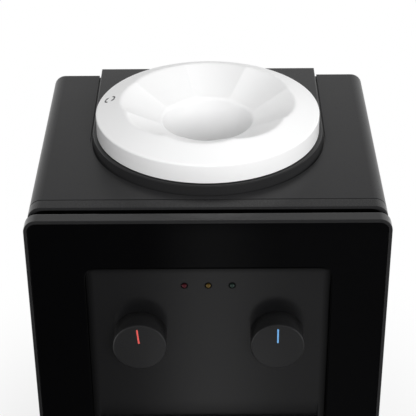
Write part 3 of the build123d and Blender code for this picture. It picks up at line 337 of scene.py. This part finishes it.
def roundCorners(points, radii, steps=6, close=False):
    # a polyline whose corners give way to arcs, each from radius / tan(half the corner's angle) before the
    # corner to as far after it, with a guard point beyond each end
    points = np.asarray(points, float)
    line = []
    for i, (corner, radius) in enumerate(zip(points, radii)):
        if not radius or (not close and i in (0, len(points) - 1)):
            line.append(corner[None])
            continue
        toward = points[i - 1] - corner
        onward = points[(i + 1) % len(points)] - corner
        toward, onward = toward / np.linalg.norm(toward), onward / np.linalg.norm(onward)
        half = np.arccos(np.clip(toward @ onward, -1, 1)) / 2
        middle = (toward + onward) / np.linalg.norm(toward + onward)
        centre = corner + middle * radius / sin(half)
        span = np.linspace(-1, 1, steps + 1)[:, None] * (pi / 2 - half)
        across = (onward - toward) / np.linalg.norm(onward - toward)
        arc = centre - radius * (np.cos(span) * middle - np.sin(span) * across)
        guard = min(guardStep, guardShare * radius)
        line.append(np.concatenate([arc[:1] + guard * toward, arc, arc[-1:] + guard * onward]))
    return np.concatenate(line)


def ringProfile(profile, halfWidth, low, high, radius, footRadius=None):
    # a profile of (inset, depth) carried round a rounded rectangle, whose radii shrink with the inset
    inset, depth = np.asarray(profile, float).T
    foot = None if footRadius is None else np.maximum(footRadius - inset, leastRound)[:, None]
    bend = np.maximum(radius - inset, leastRound)
    return uprightRings(halfWidth - inset, low + inset, high - inset, bend, depth, foot)


def turned(profile, columns, centre, phase=0.0, axis="Z"):
    # a profile of (radius, height) turned about an axis through centre: (r cos t, r sin t, h), or
    # (r cos t, -h, r sin t) for an axis along -Y
    radius, height = np.asarray(profile, float).T[:, :, None]
    angle = radians(phase) + np.linspace(0, 2 * pi, columns, endpoint=False)
    flat, rise = radius * np.cos(angle), radius * np.sin(angle)
    if axis == "Z":
        points = np.stack([flat, rise, height + 0 * flat], -1)
    else:
        points = np.stack([flat, -height + 0 * flat, rise], -1)
    return points + np.asarray(centre, float)


def closeEnds(bar):
    # a bar of four long edges, with both of its ends drawn together into the middle of that end
    middle = bar.mean(0, keepdims=True).repeat(4, 0)
    return np.concatenate([middle[:, :1], bar, middle[:, -1:]], 1)


# Front: frame strip, painted shade in the shadow gap (a near-black matt sheet), bezel, gloss panel and dished
# insert
front = {
    "bodyHalf": 155.0,
    "base": 12.0,
    "top": 450.0,
    "bodyRound": 11.5,
    "stripBack": -94.8,
    "stripFront": -108.8,
    "stripEdge": 1.8,
    "stripSoft": 0.4,  # radius of the strip's back edges
    "stripFoot": 0.6,  # radius of its lower corners
    "stripWall": 3.0,
    "stripWide": 24.0,
    "liningEdge": 1.6,  # insets of the painted shade sheet in the gap: its outer edge, the bezel's pad and its inner edge
    "liningPad": 10.0,
    "liningInner": 13.0,
    "liningRound": 15.5,
    "liningProud": (0.05, 0.2),  # how far it stands out from the strip's face, and into the bezel's back
    "liningDeep": 0.5,
    "bezelHalf": 156.3,
    "bezelRound": 11.0,
    "bezelBack": -116.6,
    "bezelFront": -129.0,
    "bezelRim": 3.0,  # width of the rim round the gloss panel
    "bezelWide": 20.0,
    "bezelRadii": (1.2, 0.6, 0.35, 0, 0, 0),
    "glossFront": -128.3,
    "glossThick": 3.0,
    "glossGap": 0.4,
    "glossSoft": 0.35,  # radius of its edges
    "pocketGap": 0.05,  # between the gloss panel's back and the bezel's pocket
    "insertGap": 0.25,
    "insertBack": -114.0,
    "insertWall": 1.2,
    "nicheWall": 0.12,
    "insertLip": 0.3,  # radius of the insert's edge
    "insertBend": 0.35,  # how much its corners' radius shrinks with the inset
    "dish": 3.5,  # how far the apron lies behind the gloss panel
    "dishSlope": 1.8,  # width of the slope down to it, with the lip
    "rollHalf": 100.2,  # the niche's mouth where its edge starts to turn in
    "rollLow": 36.8,
    "rollHigh": 253.0,
    "rollRound": 0.6,
    "rollDeep": 50.0,  # radius of the roll above the niche
    "edgeDeep": 0.25,  # radius of the mouth's other edges
    "footRound": 0.26,  # radius of its lower corners
    "nicheBack": -35.0,
    "edgeRows": 5,
    "slopeRows": 16,
    "turnRows": 25,
    "apronRows": (0.01, 0.15, 0.3, 0.5, 0.7, 0.85, 0.98),  # shares of the way from the slope to the mouth
}


def makeFront(look):
    # each piece is a section of (inset, depth), from the back of its outer side on, carried round the body
    half, base, top = look["bodyHalf"], look["base"], look["top"]
    back, strip = look["stripBack"], look["stripFront"]
    wide, thick, soft = look["stripWide"], look["stripWall"], look["stripSoft"]
    rear = strip + thick
    corners = [(0, back), (0, strip), (wide, strip), (wide, rear), (thick, rear), (thick, back)]
    profile = roundCorners(corners, (soft, look["stripEdge"], 0, 0, 0, soft), close=True)
    rings = ringProfile(profile, half, base, top, look["bodyRound"], footRadius=look["stripFoot"])
    makePiece("frameStrip", [(rings, True, True)], "housing", "frame_plastic", ("front_frame",))
    # painted shade in the gap: a near-black matt channel laid over the strip's face, just inside its edge,
    # and round the bezel's pad
    wall = look["bezelBack"]
    edge, pad, inner = look["liningEdge"], look["liningPad"], look["liningInner"]
    overStrip, overPad = look["liningProud"]
    over, raised, under = strip - overStrip, wall - overPad, strip + look["liningDeep"]
    corners = [(edge, over), (pad, over), (pad, raised), (inner, raised), (inner, under), (edge, under)]
    rings = ringProfile(corners, half, base, top, look["liningRound"])
    makePiece("gapLining", [(rings, True, True)], "housing", "black_rubber", look="shadowBlack")

    outer, fore, rim = look["bezelHalf"], look["bezelFront"], look["bezelRim"]
    pocket = look["glossFront"] + look["glossThick"]
    wide = look["bezelWide"]
    corners = [(0, wall), (0, fore), (rim, fore), (rim, pocket), (wide, pocket), (wide, wall)]
    profile = roundCorners(corners, look["bezelRadii"], close=True)
    rings = ringProfile(profile, outer, base, top, look["bezelRound"])
    makePiece("frontBezel", [(rings, True, True)], "housing", "bezel_plastic", ("front_bezel",))

    # gloss panel: from the bezel's pocket in to the insert's edge, both edges rounded by
    # soft (1 - cos a, 1 - sin a)
    edge = np.linspace(0, pi / 2, look["edgeRows"])
    soft, face = look["glossSoft"], look["glossFront"]
    inset = np.concatenate([[0], soft * (1 - np.cos(edge)), [soft + guardStep]])
    depth = np.concatenate([[pocket - look["pocketGap"]], face + soft * (1 - np.sin(edge)), [face]])
    reach = rim + look["glossGap"] + inset
    bend = look["bezelRound"] - rim - look["glossGap"]
    outside = uprightRings(outer - reach, base + reach, top - reach, bend, depth)
    reach = look["insertGap"] + inset
    bend = insert["round"] + look["insertGap"]
    inside = uprightRings(insert["half"] + reach, insert["low"] - reach, insert["high"] + reach, bend, depth)
    sheet = np.concatenate([outside, inside[::-1]])
    makePiece("glossPanel", [(sheet, True, True)], "housing", "gloss_black", ("gloss_panel",))


def makeInsert(look):
    # Rings from the rim to the niche's back. Slope: depth = dish (1 - cos(pi t)) / 2 while the inset grows
    # with t. Mouth: depth = R (1 - cos a) while the edge moves in by R sin a, where R runs from the sides'
    # radius to the roll's round the corner
    gloss, dish = look["glossFront"], look["dish"]
    apron = gloss + dish
    half, low, high, bend = insert["half"], insert["low"], insert["high"], insert["round"]
    lip = look["insertLip"]
    edge = np.linspace(0, pi / 2, look["edgeRows"])
    slope = np.linspace(0, 1, look["slopeRows"] + 1)[1:]
    inset = np.concatenate([[0], lip * (1 - np.cos(edge)), lip + (look["dishSlope"] - lip) * slope])
    fall = gloss + dish * (1 - np.cos(pi * slope)) / 2
    depth = np.concatenate([[look["insertBack"]], gloss + lip * (1 - np.sin(edge)), fall])
    rim = uprightRings(half - inset, low + inset, high - inset, bend - look["insertBend"] * inset, depth)

    side = np.clip(np.arange(-1, arcSteps + 2) / arcSteps, 0, 1)
    blend = side * side * (3 - 2 * side)
    foot = np.zeros(arcSteps + 3)
    small, large = look["edgeDeep"], look["rollDeep"]
    deep = small + (large - small) * np.concatenate([foot, blend, blend[::-1], foot])
    turn = np.linspace(0, pi / 2, look["turnRows"])
    shrink = np.sin(turn)
    mouth = uprightRings(look["rollHalf"] - small * shrink, look["rollLow"] + small * shrink,
                         look["rollHigh"] - large * shrink, look["rollRound"], apron, look["footRound"])
    mouth[:, :, 1] = apron + deep * (1 - np.cos(turn))[:, None]
    tube = mouth[-1:].copy()
    tube[:, :, 1] = look["nicheBack"]
    share = np.array(look["apronRows"])[:, None, None]
    flat = rim[-1:] + (mouth[:1] - rim[-1:]) * share
    skin = np.concatenate([rim, flat, mouth, tube])
    # wall: the skin again, set back along its normals by a thickness that is small inside the niche
    along = np.roll(skin, -1, 1) - np.roll(skin, 1, 1)
    down = np.gradient(skin, axis=0)
    normal = np.cross(along, down)
    normal /= np.maximum(np.linalg.norm(normal, axis=-1, keepdims=True), 1e-9)
    wall = np.full((len(skin), 1, 1), look["insertWall"])
    wall[-1:] = look["nicheWall"]
    behind = skin - normal * wall
    behind[0, :, 1] = skin[0, :, 1]
    closed = np.concatenate([skin, behind[::-1]])
    makePiece("tapInsert", [(closed, True, True)], "housing", "charcoal_plastic", ("tap_panel",))


makeFront(front)
makeInsert(front)
print("front made")


# Bottle seat: a funnel with eight petals in a sloping rim, bayonet collar and lugs below
seat = {
    "centre": (0.0, 20.0, 0.0),
    "rim": (103.0, 459.2, 476.8),  # radius, foot and head of the rim's upright side
    "rimEdge": 2.2,
    "columns": 384,
    "rows": ((103, 83, 12), (82.4, 73, 36), (72, 46, 24)),  # each a span of radii and its count of rings
    "petals": 8,
    "petalTurn": 16.6,
    "ridge": (77.6, 487.8),
    "throat": (41.5, 468.0),
    "throatRound": 7.0,
    "throatFoot": (33.0, 418.0),  # radius and height to which the throat narrows
    "throatBack": (0.1, 2.0, 0.6),  # out and up from there to the throat's back, and the radius between
    "rimFall": 0.433,  # slope of the rim outside the ridge
    "ridgeDepth": 2.7,  # how deep a petal is in its middle, at the ridge and at the throat
    "throatDepth": 1.0,
    "petalStart": 3.0,  # the petals begin between the throat and this far outside it
    "outerDepth": (200, 4.5),  # further out their depth heads for this radius and multiple of ridgeDepth
    "ridgeSoft": 0.8,
    "collar": (58.0, 60.6, 431.0, 474.5),
    "lugReach": 63.6,
    "lugs": 3,
    "lugSpan": 20.0,
    "lugMiddle": 33.0,
    "lugThick": 2.5,
    "lugRoot": 1.0,  # how far the lugs start inside the collar
    "collarColumns": 96,
    "lugColumns": 13,
    # inside of the well, its floor round the probe, outside of the neck and underside of the funnel
    "underside": [(36, 415), (36, 372), (9.1, 372), (9.1, 369.4), (38.6, 369.4), (38.6, 414), (44.1, 417),
                  (44.1, 466), (77.6, 483.8), (100.4, 473.8), (100.4, 459.2)],
    "undersideRadii": (1.5, 1.5, 0.4, 0.4, 1, 0, 0, 0, 0, 0, 0.4),
}


def makeSeat(look):
    # Bowl: z = cone(r) - depth(r) (1 - (phi / 22.5)^2), with phi from the petal's middle.
    # Rim: z = ridge - fall (r - ridge radius). The surface is the soft minimum of the two,
    # -s log(exp(-bowl / s) + exp(-rim / s))
    rimR, rimFoot, rimHead = look["rim"]
    ridgeR, ridgeZ = look["ridge"]
    throatR, throatZ = look["throat"]
    footR, footZ = look["throatFoot"]
    fine = np.concatenate([np.linspace(*span) for span in look["rows"]])[1:]
    rise, fall = (ridgeZ - throatZ) / (ridgeR - throatR), look["rimFall"]
    cone = np.where(fine < ridgeR, ridgeZ + rise * (fine - ridgeR), ridgeZ - fall * (fine - ridgeR))
    corners = [(rimR, rimFoot), (rimR, rimHead), (fine[0], cone[0])]
    upper = roundCorners(corners, (0, look["rimEdge"], 0), steps=8)
    corners = [(fine[-1], cone[-1]), (throatR, throatZ), (footR, footZ)]
    throat = roundCorners(corners, (0, look["throatRound"], 0), steps=12)
    backR, backZ, backRound = look["throatBack"]
    corners = [(footR + backR, footZ + backZ), (footR, footZ), *look["underside"]]
    inside = roundCorners(corners, (0, backRound, *look["undersideRadii"]), steps=4)
    top = np.concatenate([upper, np.stack([fine, cone], -1)[1:-1], throat[1:-1]])
    columns = look["columns"]
    share = 360 / look["petals"]
    bearing = np.arange(columns) * 360 / columns
    phi = (bearing % share) - share / 2
    hollow = 1 - (phi / (share / 2)) ** 2
    radius, height = top.T[:, :, None]
    deep, (outerR, more) = look["ridgeDepth"], look["outerDepth"]
    depth = np.interp(radius, [throatR, throatR + look["petalStart"], ridgeR, outerR],
                      [0, look["throatDepth"], deep, deep * more])
    soft = look["ridgeSoft"]
    bowl = np.where(radius < ridgeR, height, ridgeZ + rise * (radius - ridgeR)) - depth * hollow
    rim = np.where(radius > ridgeR, height, ridgeZ - fall * (radius - ridgeR))
    low = np.minimum(bowl, rim)
    level = low - soft * np.log(np.exp((low - bowl) / soft) + np.exp((low - rim) / soft))
    surface = turned(top, columns, look["centre"], look["petalTurn"])
    surface[:, :, 2] = level
    body = np.concatenate([surface, turned(inside, columns, look["centre"], look["petalTurn"])])
    near, far, foot, head = look["collar"]
    corners = [(near, foot), (far, foot), (far, head), (near, head)]
    collar = turned(corners, look["collarColumns"], look["centre"])
    grids = [(body, True, True), (collar, True, True)]
    angle = np.linspace(-0.5, 0.5, look["lugColumns"]) * radians(look["lugSpan"])
    root, tip = far - look["lugRoot"], look["lugReach"]
    reach = np.array([root, tip, tip, root])[:, None]
    lift = foot + np.array([0, 0, 1, 1])[:, None] * look["lugThick"]
    for lug in range(look["lugs"]):  # a lug is a ring sector: its section's four corners carried along an arc
        middle = radians(look["lugMiddle"] + 360 / look["lugs"] * lug)
        x, y = reach * np.cos(angle + middle), reach * np.sin(angle + middle)
        arc = np.stack([x, y + look["centre"][1], lift + 0 * angle], -1)
        grids.append((closeEnds(arc), True, False))
    makePiece("bottleSeat", grids, "seat", "white_plastic", ("bottle_seat",), sharp=50)


makeSeat(seat)

# Turn symbol: two plain arrows on the seat's rim
symbol = {
    "bearing": 172.2,
    "radius": 91.5,
    "size": 4.9,
    "flat": 0.88,
    "width": 1.6,
    "starts": (20, 200),
    "sweep": 140,
    "head": 0.72,  # share of an arrow at which its head begins
    "halfWidths": (0.5, 0.5, 1.25, 0.02),  # shares of the width: shaft, shaft's end, head's start and tip
    "lift": 0.05,
    "sunk": 0.2,
}


def makeSymbol(look):
    # each is a band from radius size - w to size + w, (r cos t, flat r sin t), whose half width w grows
    # into a head and falls to a point at one end
    fall = seat["rimFall"]
    ridgeR, ridgeZ = seat["ridge"]
    centre = np.array(seat["centre"][:2])
    head = look["head"]
    t = np.linspace(0, 1, 40)
    width = np.interp(t, [0, head, head + 0.0001, 1], look["halfWidths"]) * look["width"]
    bearing = radians(look["bearing"])
    out = np.array([cos(bearing), sin(bearing)])
    side = np.array([-sin(bearing), cos(bearing)])
    grids = []
    for start in look["starts"]:
        angle = radians(start) + t * radians(look["sweep"])
        ring = look["size"] + np.array([-1, 1])[:, None] * width
        flat = np.stack([ring * np.cos(angle), look["flat"] * ring * np.sin(angle)], -1)
        place = centre + out * look["radius"] + flat[..., :1] * side + flat[..., 1:] * out
        reach = np.linalg.norm(place - centre, axis=-1)
        height = ridgeZ - fall * (reach - ridgeR)
        upper = np.concatenate([place, (height + look["lift"])[..., None]], -1)
        lower = np.concatenate([place, (height - look["sunk"])[..., None]], -1)
        loop = np.stack([upper[0], upper[1], lower[1], lower[0]], 0)
        grids.append((closeEnds(loop), True, False))
    makePiece("turnSymbol", grids, "seat", "black_plastic", look="symbolInk")


makeSymbol(symbol)
print("bottle seat made")


# Tap knobs: a crowned disc with a soft edge and a marker let into its face
knobs = {
    "reach": 60.5,
    "height": 329.5,
    "radius": 23.65,
    "face": 146.35,  # how far forward the middle of the face is
    "back": 125.15,
    "crown": 0.7,
    "edge": 1.4,
    "sideDraft": 0.25,
    "backEdge": 0.3,
    "rimWall": 2.4,
    "hollowDeep": 15.0,
    "hollowDraft": 0.2,
    "columns": 160,
    "faceRows": 16,
    "edgeRows": 8,
    "markerSteps": 4,
    "marker": (1.5, 14.5),  # width and length
    "markerEdge": 4.5,  # from the knob's edge
    # the marker's layers from its top: in from its sides, in from its ends, corner radius, height on the face
    "markerLayers": ((0.65, 0.9, 0.08, 0.12), (0.2, 0.25, 0.35, 0.12), (0, 0, 0.5, 0), (0, 0, 0.5, -0.7)),
    "hotTurn": 5.5,
}


def makeKnob(look, name, hand, turn, stands, body):
    # face: forward = face - crown (r / R)^2, then a quarter round, a slightly drafted side and a hollow back
    radius, crown, edge = look["radius"], look["crown"], look["edge"]
    r = np.linspace(0, radius - edge, look["faceRows"])
    face = np.stack([r, look["face"] - crown * (r / radius) ** 2], -1)
    quarter = np.linspace(0, pi / 2, look["edgeRows"] + 1)[1:]
    lip = face[-1, 1] - edge
    soft = np.stack([radius - edge + edge * np.sin(quarter), lip + edge * np.cos(quarter)], -1)
    side, rear, wall = radius - look["sideDraft"], look["back"], radius - look["rimWall"]
    floor = rear + look["hollowDeep"]
    bevel, draft = look["backEdge"], look["hollowDraft"]
    behind = [(side, rear + bevel), (side - bevel, rear), (wall, rear), (wall - draft, floor), (0, floor)]
    profile = np.concatenate([face, soft, behind])
    centre = (hand * look["reach"], 0, look["height"])
    grid = turned(profile, look["columns"], centre, axis="Y")
    makePiece(name, [(grid, False, True)], body, "knob_plastic", stands[:1], sharp=50)
    # marker: a round-ended bar whose top follows the crowned face and stands a little proud of it
    wide, long = look["marker"]
    outer = radius - look["markerEdge"]
    narrow, short, bend, proud = np.array(look["markerLayers"]).T
    low, high = outer - long + short, outer - short
    layers = uprightRings(wide / 2 - narrow, low, high, bend, 0.0, steps=look["markerSteps"])
    rise = look["face"] - crown * ((layers[..., 0] ** 2 + layers[..., 2] ** 2) / radius ** 2)
    layers[..., 1] = -(rise + proud[:, None])
    heart = layers[:1].mean(1, keepdims=True).repeat(layers.shape[1], 1)
    foot = layers[-1:].mean(1, keepdims=True).repeat(layers.shape[1], 1)
    bar = np.concatenate([heart, layers, foot])
    lean = radians(-turn)
    x, z = bar[..., 0].copy(), bar[..., 2].copy()
    bar[..., 0] = centre[0] + x * cos(lean) + z * sin(lean)
    bar[..., 2] = centre[2] - x * sin(lean) + z * cos(lean)
    slotName = "red_marker" if hand < 0 else "blue_marker"
    makePiece(stands[1].split("_")[0] + "Mark", [(bar, False, True)], body, slotName, stands[1:], sharp=45)


makeKnob(knobs, "hotKnob", -1, knobs["hotTurn"], ("hot_knob", "hot_marker"), "hot_tap")
makeKnob(knobs, "coldKnob", 1, 0.0, ("cold_knob", "cold_marker"), "cold_tap")
print("taps made")


# Signal lamps: domed lenses, each in a dark collar
signals = {
    "gap": 20.8,
    "height": 380.7,
    "apron": 124.8,
    "radius": 2.5,
    "play": 0.25,
    "dome": 1.9,
    "domeFoot": 0.15,
    "stemBack": 115.0,
    "collar": 3.3,
    "collarUnder": 0.2,  # how far the collar reaches in under the dome's radius
    "collarRise": 0.35,
    "collarDeep": 1.5,
    "columns": 40,
    "domeRows": 14,
    "archRows": 9,
}


def makeSignals(look):
    # dome: (R cos a, dome sin a) above a short stem; collar: a low half-round ring
    bow = np.linspace(0, pi / 2, look["domeRows"])
    radius, apron, back = look["radius"] - look["play"], look["apron"], look["stemBack"]
    dome = np.stack([radius * np.cos(bow), apron + look["domeFoot"] + look["dome"] * np.sin(bow)], -1)
    profile = np.concatenate([[(0, back), (radius, back)], dome])
    arch = np.linspace(0, pi, look["archRows"])
    near, far = look["radius"] - look["collarUnder"], look["collar"]
    foot = apron - look["collarDeep"]
    across = (near + far) / 2 + (far - near) / 2 * np.cos(arch)
    ring = np.stack([across, apron + look["collarRise"] * np.sin(arch)], -1)
    ring = np.concatenate([ring, [(near, foot), (far, foot)]])
    collars = []
    for n, colour in ((-1, "red"), (0, "amber"), (1, "green")):
        centre = (n * look["gap"], 0, look["height"])
        lens = turned(profile, look["columns"], centre, axis="Y")
        makePiece(colour + "Signal", [(lens, False, True)], "housing", colour + "_lens", (colour + "_lamp",))
        collars.append((turned(ring, look["columns"], centre, axis="Y"), True, True))
    makePiece("signalCollars", collars, "housing", "black_plastic", look="glossBlack")


makeSignals(signals)
print("signal lamps made")


# Studio: pale floor, white surroundings, soft lights, and a dark card that only polished faces see
studio = {
    "floorReach": 9.0,
    "floorWhite": 0.86,
    "floorFade": (0.12, 0.5, 0.7, 1.0),  # distances between which the plain white grows, and its shares there
    "shade": 0.40,  # surroundings as diffuse light sees them
    "horizon": 0.38,  # polished faces see white up to this height on the unit sphere
    "zenith": 0.66,  # and the ceiling's level from this height on
    "ceiling": 0.16,
    "frontSky": 0.4,  # share of that brightness in the sky before the object
    "skyTurn": 0.3,  # half width of the change from that sky to the rest
    "cardLift": 0.002,
    "cardNear": 0.12,
    "cardFar": -8.0,
    "cardHalf": 1.0,
    "cardEdges": (0.8, 0.5),  # levels beyond cardOuter, left and right, where only turned faces look
    "cardLeft": 0.05,
    "cardMiddle": 0.45,
    "cardRight": 0.19,
    "cardShares": (1.4, 0.85),  # of cardLeft beside the pale band, and of cardRight at cardSide
    "cardFoot": (0.06, -0.10, -0.42),  # share of its brightness near the object, where it starts to grow
    # and where it is whole
    "cardBeyond": (0.08, -0.79, -0.88),  # even level far away, and where it starts to show and is whole
    "cardGlow": 0.10,  # half width of the pale band in the middle of the card
    "cardSide": 0.25,
    "cardOuter": 0.34,
    "cardReach": 0.5,  # half of the width over which the levels are spread
    "lamps": {  # place, aim, width, height, power
        "overheadLamp": ((-0.12, -0.30, 1.70), (0.0, 0.0, 0.45), 1.5, 1.5, 3.95),
        "rightLamp": ((1.60, -0.15, 0.85), (0.0, 0.0, 0.42), 0.9, 0.9, 8.3),
        "frontLamp": ((0.50, -1.95, 1.30), (0.0, -0.12, 0.30), 0.9, 0.6, 26.0),
    },
}


def makeStage(name, corners, material):  # a flat stage sheet through four corners
    mesh = bpy.data.meshes.new(name)
    mesh.from_pydata(corners, [], [(0, 1, 2, 3)])
    mesh.materials.append(material)
    sheet = bpy.data.objects.new(name, mesh)
    scene.collection.objects.link(sheet)
    return sheet


def seenRay(tree):  # 1 for camera, glossy and transmission rays, otherwise 0
    path = addNode(tree, "ShaderNodeLightPath")
    seen = path.outputs["Is Camera Ray"]
    for kind in ("Is Glossy Ray", "Is Transmission Ray"):
        either = addNode(tree, "ShaderNodeMath", operation="MAXIMUM")
        tree.links.new(seen, either.inputs[0])
        tree.links.new(path.outputs[kind], either.inputs[1])
        seen = either.outputs[0]
    return seen


def floorPaint():  # a pale floor that keeps its shadow near the object and fades to plain white with distance
    material = bpy.data.materials.new("floorPaint")
    material.use_nodes = True
    tree = material.node_tree
    link = tree.links.new
    tree.nodes.remove(tree.nodes["Principled BSDF"])
    place = addNode(tree, "ShaderNodeTexCoord").outputs["Object"]
    distance = addNode(tree, "ShaderNodeVectorMath", operation="LENGTH")
    link(place, distance.inputs[0])
    near, far, least, most = studio["floorFade"]
    limits = {"From Min": near, "From Max": far, "To Min": least, "To Max": most}
    fade = addNode(tree, "ShaderNodeMapRange", limits, interpolation_type="SMOOTHSTEP")
    link(distance.outputs["Value"], fade.inputs["Value"])
    share = addNode(tree, "ShaderNodeMath", operation="MULTIPLY")
    link(fade.outputs["Result"], share.inputs[0])
    link(seenRay(tree), share.inputs[1])
    matt = addNode(tree, "ShaderNodeBsdfDiffuse", {"Color": (*[studio["floorWhite"]] * 3, 1)})
    white = addNode(tree, "ShaderNodeEmission", {"Color": (1, 1, 1, 1), "Strength": 1.0})
    both = addNode(tree, "ShaderNodeMixShader")
    link(share.outputs[0], both.inputs[0])
    link(matt.outputs[0], both.inputs[1])
    link(white.outputs[0], both.inputs[2])
    link(both.outputs[0], tree.nodes["Material Output"].inputs["Surface"])
    material.cycles.emission_sampling = "NONE"
    return material


def cardPaint():
    # brightness = ramp(y) * levels(x), where the levels go from left to right with a bell at x = 0 and give
    # way to an even level far away
    material = bpy.data.materials.new("cardPaint")
    material.use_nodes = True
    tree = material.node_tree
    link = tree.links.new
    tree.nodes.remove(tree.nodes["Principled BSDF"])
    place = addNode(tree, "ShaderNodeTexCoord").outputs["Object"]
    axes = addNode(tree, "ShaderNodeSeparateXYZ")
    link(place, axes.inputs[0])
    ramp = addNode(tree, "ShaderNodeValToRGB")
    width, side, outer, reach = (studio[key] for key in ("cardGlow", "cardSide", "cardOuter", "cardReach"))
    left, right = studio["cardLeft"], studio["cardRight"]
    leftEdge, rightEdge = studio["cardEdges"]
    more, less = studio["cardShares"]
    stops = [(-outer, leftEdge), (-side, left), (-width, left * more), (0, studio["cardMiddle"]),
             (width, right), (side, right * less), (outer, rightEdge)]
    while len(ramp.color_ramp.elements) < len(stops):
        ramp.color_ramp.elements.new(0.5)
    for element, (x, level) in zip(ramp.color_ramp.elements, stops):
        element.position = (x + reach) / (2 * reach)
        element.color = (level, level, level, 1)
    ramp.color_ramp.interpolation = "EASE"
    span = addNode(tree, "ShaderNodeMapRange", {"From Min": -reach, "From Max": reach})
    link(axes.outputs["X"], span.inputs["Value"])
    link(span.outputs["Result"], ramp.inputs["Fac"])
    glow = addNode(tree, "ShaderNodeEmission")
    foot, start, full = studio["cardFoot"]
    limits = {"From Min": start, "From Max": full, "To Min": foot, "To Max": 1.0}
    depth = addNode(tree, "ShaderNodeMapRange", limits)
    link(axes.outputs["Y"], depth.inputs["Value"])
    link(depth.outputs["Result"], glow.inputs["Strength"])
    even, start, full = studio["cardBeyond"]
    limits = {"From Min": start, "From Max": full}
    beyond = addNode(tree, "ShaderNodeMapRange", limits, interpolation_type="SMOOTHSTEP")
    link(axes.outputs["Y"], beyond.inputs["Value"])
    level = addNode(tree, "ShaderNodeMix", {7: (even, even, even, 1)}, data_type="RGBA")
    link(beyond.outputs["Result"], level.inputs["Factor"])
    link(ramp.outputs["Color"], level.inputs[6])
    link(level.outputs[2], glow.inputs["Color"])
    link(glow.outputs[0], tree.nodes["Material Output"].inputs["Surface"])
    material.cycles.emission_sampling = "NONE"
    return material


reach = studio["floorReach"]
corners = [(-reach, -reach, 0), (reach, -reach, 0), (reach, reach, 0), (-reach, reach, 0)]
makeStage("floorSheet", corners, floorPaint())
half, near, far, lift = studio["cardHalf"], studio["cardNear"], studio["cardFar"], studio["cardLift"]
corners = [(-half, far, lift), (half, far, lift), (half, near, lift), (-half, near, lift)]
card = makeStage("glareCard", corners, cardPaint())
for kind in ("camera", "diffuse", "transmission", "volume_scatter", "shadow"):
    setattr(card, f"visible_{kind}", False)

world = bpy.data.worlds.new("studioWorld")
scene.world = world
world.use_nodes = True
tree = world.node_tree
background = tree.nodes["Background"]
link = tree.links.new
direction = addNode(tree, "ShaderNodeSeparateXYZ")
link(addNode(tree, "ShaderNodeTexCoord").outputs["Generated"], direction.inputs[0])
# polished faces see white near the horizon and a darker ceiling; the camera sees white all round
limits = {"From Min": studio["horizon"], "From Max": studio["zenith"]}
limits.update({"To Min": 1.0, "To Max": studio["ceiling"]})
ceiling = addNode(tree, "ShaderNodeMapRange", limits, interpolation_type="SMOOTHSTEP")
link(direction.outputs["Z"], ceiling.inputs["Value"])
rays = addNode(tree, "ShaderNodeLightPath")
sharpLight = addNode(tree, "ShaderNodeMix", {2: studio["shade"]})
link(rays.outputs["Is Glossy Ray"], sharpLight.inputs[0])
turn = studio["skyTurn"]
limits = {"From Min": -turn, "From Max": turn, "To Min": studio["frontSky"], "To Max": 1.0}
before = addNode(tree, "ShaderNodeMapRange", limits)
link(direction.outputs["Y"], before.inputs["Value"])
sky = addNode(tree, "ShaderNodeMath", operation="MULTIPLY")
link(ceiling.outputs["Result"], sky.inputs[0])
link(before.outputs["Result"], sky.inputs[1])
link(sky.outputs[0], sharpLight.inputs[3])
direct = addNode(tree, "ShaderNodeMath", operation="MAXIMUM")
link(rays.outputs["Is Camera Ray"], direct.inputs[0])
link(rays.outputs["Is Transmission Ray"], direct.inputs[1])
level = addNode(tree, "ShaderNodeMix", {3: 1.0})
link(direct.outputs[0], level.inputs[0])
link(sharpLight.outputs[0], level.inputs[2])
link(level.outputs[0], background.inputs["Strength"])
background.inputs["Color"].default_value = (1, 1, 1, 1)

for name, (spot, aim, width, height, power) in studio["lamps"].items():
    lamp = bpy.data.lights.new(name, "AREA")
    lamp.shape = "RECTANGLE"
    lamp.size, lamp.size_y = width, height
    lamp.energy = power
    holder = bpy.data.objects.new(name, lamp)
    holder.visible_glossy = False  # polished faces see the surroundings and the card, not the lamps
    holder.location = spot
    holder.rotation_euler = (Vector(aim) - Vector(spot)).to_track_quat("-Z", "Y").to_euler()
    scene.collection.objects.link(holder)
print("studio lit:", len(studio["lamps"]), "lamps")


# Camera: above the front, looking down on the bottle seat and the taps
cameraView = {
    "spot": (0.0059, -1.1155, 1.0723),
    "pitch": 31.72,
    "yaw": -0.32,
    "roll": 0.49,
    "lens": 120.07,
    "sensor": 36.0,
}


def placeCamera(view):
    # ahead = (sin yaw cos pitch, cos yaw cos pitch, -sin pitch); right and down turn about it by the roll
    pitch, yaw, roll = (radians(view[key]) for key in ("pitch", "yaw", "roll"))
    ahead = Vector((sin(yaw) * cos(pitch), cos(yaw) * cos(pitch), -sin(pitch)))
    side = Vector((cos(yaw), -sin(yaw), 0))
    down = ahead.cross(side)
    right = cos(roll) * side + sin(roll) * down
    below = cos(roll) * down - sin(roll) * side
    lens = bpy.data.cameras.new("studioCamera")
    lens.lens = view["lens"]
    lens.sensor_width = view["sensor"]
    camera = bpy.data.objects.new("studioCamera", lens)
    turn = Matrix((right, -below, -ahead)).transposed().to_4x4()
    camera.matrix_world = Matrix.Translation(view["spot"]) @ turn
    scene.collection.objects.link(camera)
    scene.camera = camera


placeCamera(cameraView)

scene.view_settings.view_transform = "Standard"
